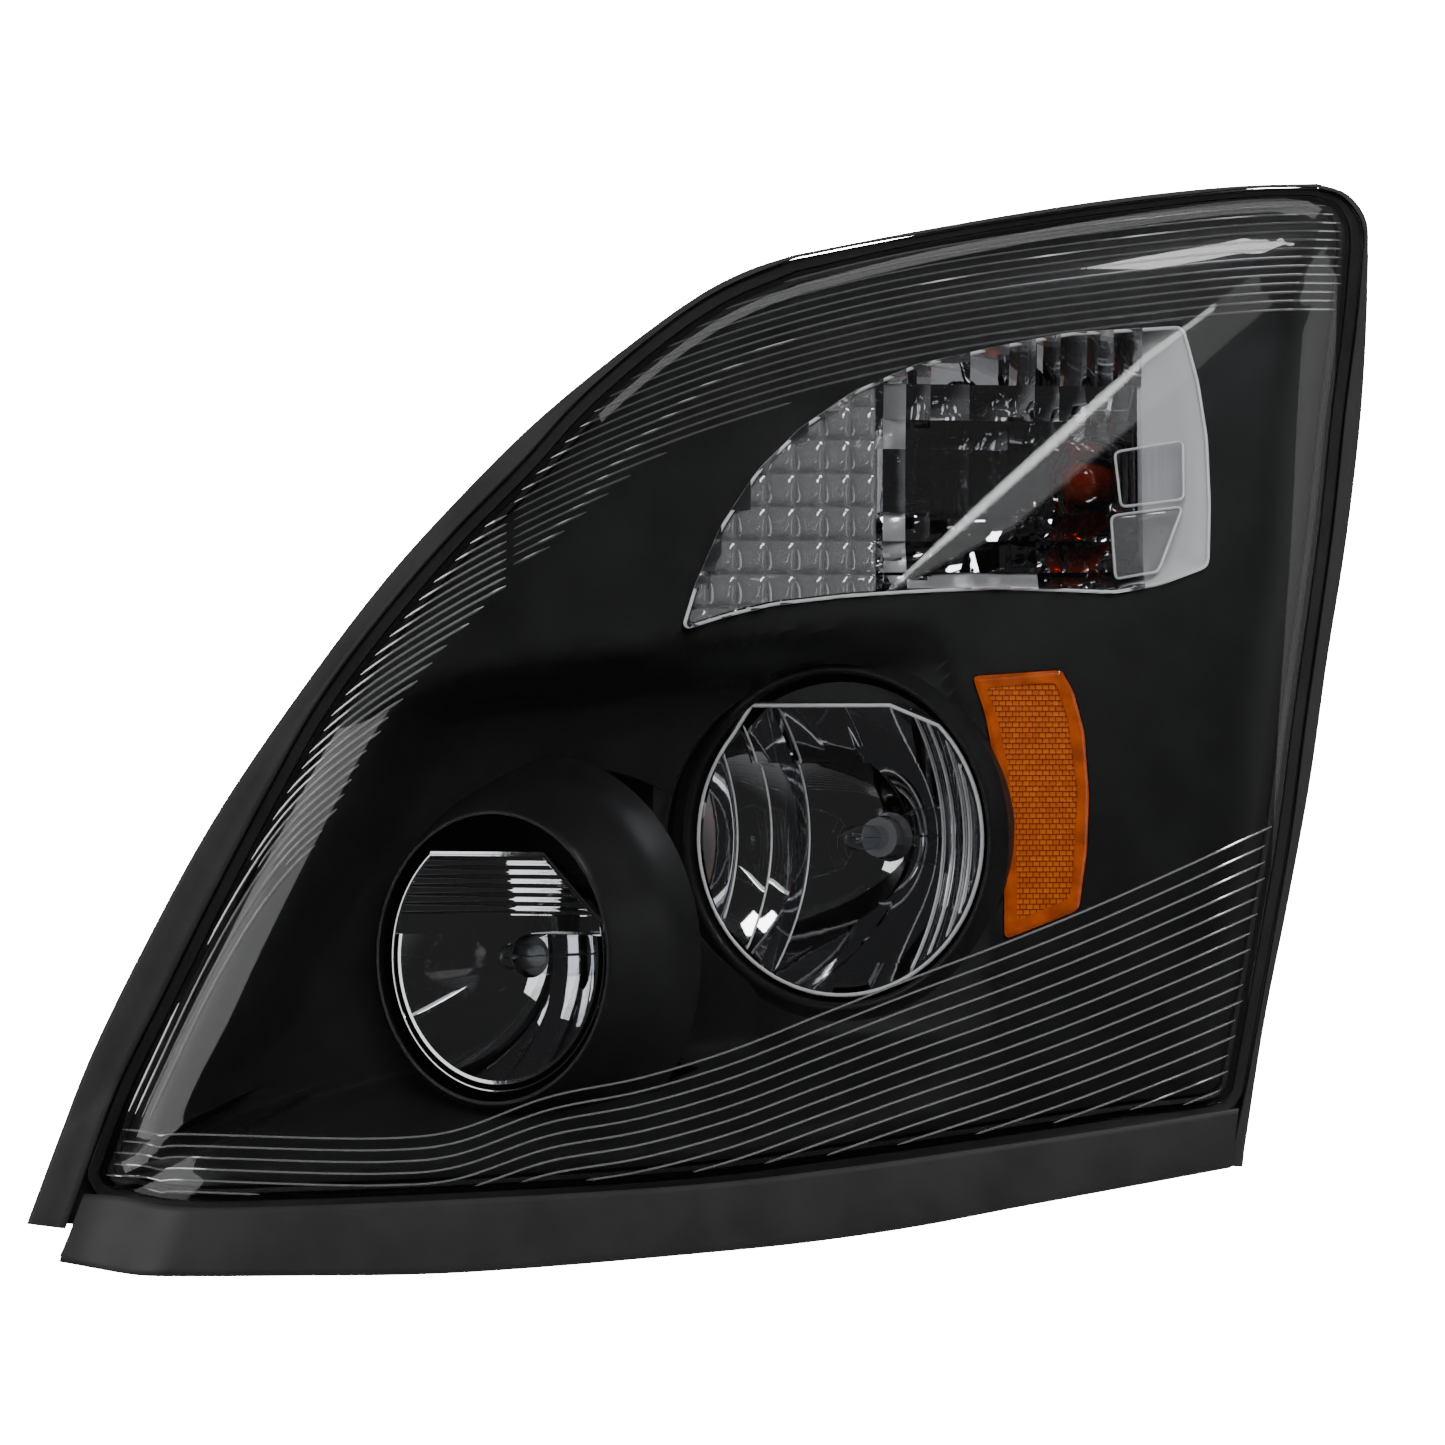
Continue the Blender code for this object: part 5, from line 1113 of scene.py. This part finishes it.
def make_turn_bulb():
    profile = arc(TURN_GLASS, -18.0, 0, 90, 12)
    profile += [(TURN_GLASS, -4.0), (TURN_GLASS - 0.4, 1.0), (9.0, 6.0), (8.8, 8.0), (0, 8.0)]
    piece("turn_bulb_glass", turned(profile, TURN_VERTEX), BULB_AMBER, ["turn_bulb"],
          body="turn_holder")
    base = [(0, 8.2), (8.7, 8.2), (8.8, 9.5), (8.8, 17.4), (8.0, 18.0), (0, 18.0)]
    piece("turn_bulb_cap", turned(base, TURN_VERTEX, sides=40), PAINT["zinc_steel"],
          body="turn_holder")
    coil = [(-3.4 + 6.8 * k / 60, 0.7 * math.sin(k * 1.2), -16.0 + 0.7 * math.cos(k * 1.2))
            for k in range(61)]
    make_filament("turn_filament", TURN_VERTEX, [(4.0, 7.0), (4.2, -8.0), (3.4, -16.0)], 0.35, coil, 0.16,
                  "turn_holder")


# Beams ----------------------------------------------------------------------------------------


def clipped_rim(radius, squeeze, left, right, top, count=72):
    start, stop = math.radians(right), math.radians(left) - math.tau
    around = [(radius * squeeze * math.cos(start + (stop - start) * k / count),
               radius * math.sin(start + (stop - start) * k / count)) for k in range(count + 1)]
    return around + top


def wall_strip(at, outline, front, depth, thickness):
    """A bmesh wall behind an open line in (sideways, up), from front to the bowl."""
    rings = []
    for k, p in enumerate(outline):
        along = (outline[min(len(outline) - 1, k + 1)] - outline[max(0, k - 1)]).normalized()
        out = Vector((-along.y, along.x)) * thickness
        back = max(front + 2.0, depth(p.x, p.y) + 1.2)
        q = p + out
        rings.append([lamp_point(at, *corner) for corner in
                      ((p.x, p.y, front), (p.x, p.y, back), (q.x, q.y, back), (q.x, q.y, front))])
    return loft(rings)


def split_line(points, step=2.0):
    made = []
    for a, b in zip(points, points[1:]):
        a, b = Vector(a), Vector(b)
        steps = max(1, round((b - a).length / step))
        made += [a.lerp(b, k / steps) for k in range(steps)]
    return made + [Vector(points[-1])]


def make_bowl(beam, at, outline, front, depth, us, vs, rim_radius, rim_paint):
    """A beam's chrome bowl within its outline, the wall behind the outline's flat top, and its rim's bead."""
    def place(s, u, d):
        return lamp_point(at, s, u, d)

    bowl = raw(beam + "_bowl", slab(us, vs, depth, BOWL_WALL, place), BOWL_SHARP)
    keep = outline_solid(outline, lambda s, u: front, lambda s, u: 70.0, place)
    combined(bowl, [(helper(keep), "INTERSECT"),
                    (rod(BULB_HOLE, 20.0, 70.0, at, sides=48), "DIFFERENCE")], BOWL_SHARP)
    show(bowl, PAINT["chrome"], [beam + "_beam_reflector"], CARRIER)
    wall = wall_strip(at, split_line(outline[-3:] + outline[:1]), front, depth, 1.8)
    piece(beam + "_bowl_roof", wall, PAINT["chrome"], body=CARRIER, sharp=BOWL_SHARP)
    rim = [lamp_point(at, p.x, p.y, front + 0.4) for p in split_line(outline + outline[:1])[:-1]]
    bead(beam + "_bowl_rim", rim, rim_radius, rim_paint, -REARWARD, CARRIER)


LOW_STRIPS = [-77.0, -62.0, -49.0, -35.0, 37.0, 47.0, 56.0, 64.0, 77.0]
LOW_LIFTS = [0.8, -0.9, 1.0, 0.0, -0.8, 0.9, -0.8, 0.9]


def low_depth(s, u):
    base = LOW_DEPTH * (1.0 - (s * s + u * u) / LOW_RADIUS**2)
    k, v = in_cell(LOW_STRIPS, s)
    if k != 3:
        base += 1.6 * v * LOW_LIFTS[k] - 1.1 * (1.0 - v * v)
    if u > 36.0 and -52.0 < s < -6.0:
        n = int((s + 52.0) / 15.4)
        base += (-3.0, 2.5, -2.0)[min(2, n)] + (0.12, -0.16, 0.14)[min(2, n)] * (s + 44.0 - 15.4 * n)
    if u < -60.0 and -4.0 < s < 17.0:
        base -= 5.0
    return base


def make_low_beam():
    outline = clipped_rim(75.5, 1.0, 139.0, 46.0, [(-47.0, LOW_FLAT), (27.0, LOW_FLAT)])
    us, vs = grid_lines(LOW_STRIPS, 1.8), grid_lines([-77.0, -60.0, 36.0, 66.0], 1.8)
    make_bowl("low", LOW_RIM, outline, 0.0, low_depth, us, vs, 1.0, SHEEN_PAINTED_COAT)
    ribs = bmesh.new()
    for s in LOW_STRIPS[1:-1]:
        reach = math.sqrt(LOW_RADIUS**2 - s * s)
        ceiling = min(62.5, reach - 1.0)
        line = [(s, -reach + 1.5 + (ceiling + reach - 1.5) * k / 60) for k in range(61)]
        line = [(s, u) for s, u in line if math.hypot(s, u) > BULB_HOLE + 2.0]
        points = [lamp_point(LOW_RIM, s, u, min(low_depth(s - 0.6, u), low_depth(s + 0.6, u)) - 0.1)
                  for s, u in line]
        sweep(ribs, points, [-REARWARD] * len(points), 0.55, 0.55)
    piece("low_bowl_ribs", ribs, SHEEN_PAINTED_COAT, body=CARRIER)

    def place(s, u, d):
        return lamp_point(LOW_RIM, s, u, d)

    angles = [math.tau * k / 96 for k in range(96)]
    disc = [(SHROUD_RADIUS * math.cos(a), SHROUD_RADIUS * math.sin(a)) for a in angles]
    shroud = raw("low_bowl_shroud", outline_solid(disc, lambda s, u: 3.0, lambda s, u: 5.0, place))
    hole = outline_solid(scaled_outline(outline, 0.6), lambda s, u: -5.0, lambda s, u: 15.0, place)
    combined(shroud, [(helper(hole), "DIFFERENCE")])
    show(shroud, PAINT["black_bezel"], body=CARRIER)


def high_depth(s, u):
    share = ((s / HIGH_SQUEEZE) ** 2 + u * u) / HIGH_RADIUS**2
    if u < 11.0:
        return HIGH_DEPTH * (1.0 - share)
    flute = 0.5 * math.cos(math.tau * (u - 20.0) / 4.4) if u > 20.0 else 0.0
    inside = max(0.0, 1.0 - share)
    return HIGH_SET_BACK + 1.5 + 22.0 * inside - 0.1 * (u - 11.0) * inside + flute


def make_high_beam():
    outline = clipped_rim(HIGH_RADIUS, HIGH_SQUEEZE, 130.0, 15.0, [(-36.0, HIGH_FLAT), (24.0, HIGH_FLAT)])
    us = grid_lines([-60.0, 60.0], 1.8)
    vs = grid_lines([-66.0, 11.0, 20.0], 1.8) + [20.0 + 0.55 * k for k in range(1, 57)]
    make_bowl("high", HIGH_RIM, outline, HIGH_SET_BACK, high_depth, us, vs, 0.7, PAINT["chrome"])


def make_bulb(name, at, seat, body):
    neck = seat - 9.0
    tip = neck - GAP
    profile = arc(4.6, tip - 31.4, 0, 60, 6) + [(6.0, tip - 29.0), (6.0, tip - 2.0), (5.4, tip), (0, tip)]
    piece(name + "_glass_tube", turned(profile, at, sides=40), PAINT["bulb_glass"],
          [name + "_glass"], body)
    coil = [(0.9 * math.cos(k * 1.1), 0.9 * math.sin(k * 1.1), tip - 20.0 - 0.09 * k) for k in range(56)]
    leads = [(2.6, tip - 1.0), (2.6, tip - 14.0), (1.2, tip - 20.0)]
    make_filament(name + "_filament", at, leads, 0.3, coil, 0.15, body)


# Everything together --------------------------------------------------------------------------


def carry_over():
    """The record's finishes on the CAD nodes that are still shown."""
    slots = {row["node"]: row["material_slot"] for row in frame["record"]["subparts"]}
    for name, obj in frame["nodes"].items():
        obj.data.materials.clear()
        obj.data.materials.append(PAINT[slots[name]])
        smooth(obj.data, 32.0)


carry_over()
make_housing()
make_lens()
make_flutes()
make_gasket()
make_trim()
make_bezel()
make_reflex()
make_turn_signal()
make_side_optics()
make_turn_bulb()
make_low_beam()
make_high_beam()
make_bulb("low_bulb", LOW_RIM, LOW_BULB_SEAT, "low_bulb")
make_bulb("high_bulb", HIGH_RIM, HIGH_FLANGE + GAP, "high_bulb")


# Stage ----------------------------------------------------------------------------------------


DIM_TOWARDS = Vector((-0.35, -0.85, 0.25)).normalized()
WHITE = 40.0
FLOOR_GLOW = 22.0
FLOOR_Z = -0.2665
SENSOR = 36.0
CAMERA_AWAY = 4.5
LIT_POINT = Vector((0.0, -0.15, 0.0))
VIEW_WIDTH = 0.6936
CAMERA_AT = Vector((0.0084, -0.15 - CAMERA_AWAY, -0.00024))


def pale_floor():
    """A floor that glows for the camera only, and fades out into the white around it."""
    made, tree = nodes_of("pale_floor")
    seen = node(tree, "LightPath", {}).outputs["Is Camera Ray"]
    glow = node(tree, "Math", {0: seen, 1: FLOOR_GLOW}, operation="MULTIPLY").outputs[0]
    solid = node(tree, "BsdfPrincipled", {"Base Color": (0.9, 0.9, 0.9, 1.0), "Roughness": 0.7,
                                          "Emission Color": (1.0, 1.0, 1.0, 1.0), "Emission Strength": glow})
    far = node(tree, "VectorMath", {0: coordinates(tree)}, operation="LENGTH").outputs["Value"]
    fade = node(tree, "MapRange", {"Value": far, "From Min": 0.35, "From Max": 0.95},
                interpolation_type="SMOOTHSTEP")
    finish(tree, node(tree, "MixShader", {0: fade.outputs["Result"], 1: solid.outputs[0],
                                          2: node(tree, "BsdfTransparent", {}).outputs[0]}))
    bm = bmesh.new()
    bmesh.ops.create_grid(bm, x_segments=8, y_segments=8, size=1.0)
    floor = placed("floor", bm)
    floor.location = (0.0, -0.1, FLOOR_Z)
    floor.data.materials.append(made)
    floor.visible_glossy = False


def studio():
    """A world that is dim in front of the lamp and above it, brighter elsewhere, and white to the camera."""
    world = bpy.data.worlds.new("studio")
    bpy.context.scene.world = world
    world.use_nodes = True
    tree = world.node_tree
    tree.nodes.clear()
    where = node(tree, "TexCoord", {}).outputs["Generated"]
    towards = node(tree, "VectorMath", {0: where, 1: DIM_TOWARDS}, operation="DOT_PRODUCT").outputs["Value"]
    shade = node(tree, "MapRange", {"Value": towards, "From Min": -0.15, "From Max": 0.35, "To Min": 0.28,
                                    "To Max": 0.03}, interpolation_type="SMOOTHSTEP")
    soft = node(tree, "Background", {"Strength": shade.outputs["Result"]})
    white = node(tree, "Background", {"Strength": WHITE})
    seen = node(tree, "LightPath", {}).outputs["Is Camera Ray"]
    mix = node(tree, "MixShader", {0: seen, 1: soft.outputs[0], 2: white.outputs[0]})
    node(tree, "OutputWorld", {"Surface": mix.outputs[0]})


def softbox(name, direction, distance, width, height, radiance, glossy=True):
    azimuth, elevation = (math.radians(a) for a in direction)
    away = Vector((math.sin(azimuth) * math.cos(elevation), -math.cos(azimuth) * math.cos(elevation),
                   math.sin(elevation)))
    light = bpy.data.lights.new(name, "AREA")
    light.shape = "RECTANGLE"
    light.size = width
    light.size_y = height
    light.energy = radiance * math.pi * width * height
    obj = placed(name, light)
    obj.location = LIT_POINT + away * distance
    obj.rotation_euler = away.to_track_quat("Z", "Y").to_euler()
    obj.visible_glossy = glossy
    obj.visible_camera = False


def reflected_card(name, outline, distance, radiance):
    """A glowing card, placed where the lens mirrors it onto an outline in XZ for the camera."""
    bm = bmesh.new()
    corners = []
    for x, z in outline:
        at = Vector((x, EDGE.lens_y(x, z), z))
        sight = (at - CAMERA_AT / MM).normalized()
        normal = lens_normal(x, z)
        mirrored = sight - 2.0 * sight.dot(normal) * normal
        corners.append(bm.verts.new(at * MM + mirrored * distance))
    bm.faces.new(corners)
    bmesh.ops.triangulate(bm, faces=bm.faces)
    card = placed(name, bm)
    made, tree = nodes_of(name)
    finish(tree, node(tree, "Emission", {"Strength": radiance}))
    card.data.materials.append(made)
    card.visible_camera = False
    card.visible_shadow = False


def camera():
    data = bpy.data.cameras.new("camera")
    data.sensor_width = SENSOR
    data.lens = SENSOR * CAMERA_AWAY / VIEW_WIDTH
    data.clip_start = 0.1
    data.clip_end = 50.0
    obj = placed("camera", data)
    obj.location = CAMERA_AT
    obj.rotation_euler = (math.radians(90.0), 0.0, 0.0)
    bpy.context.scene.camera = obj


pale_floor()
studio()
softbox("left_softbox", (-74.0, 5.0), 1.6, 1.1, 1.5, 1.9)
softbox("upper_right_softbox", (56.0, 52.0), 1.8, 0.4, 0.35, 12.0)
softbox("right_softbox", (84.0, 6.0), 1.7, 0.5, 1.2, 0.8)
softbox("top_strip", (0.0, 97.0), 1.6, 2.2, 0.2, 1.5)
softbox("fill", (15.0, 35.0), 2.2, 1.6, 1.2, 6.0, glossy=False)
STREAK = [(84.6, 59.8), (127.8, 101), (175, 144), (214, 178), (246, 201)]
reflected_card("streak_soft", STREAK + [(266, 216), (274, 202), (257, 188), (222, 156), (183, 122.7),
                                        (147.5, 93), (116, 77)], 2.8, 0.8)
reflected_card("streak_line", STREAK + [(246, 198), (214, 174), (175, 138), (127.8, 96)], 2.7, 8.0)
camera()
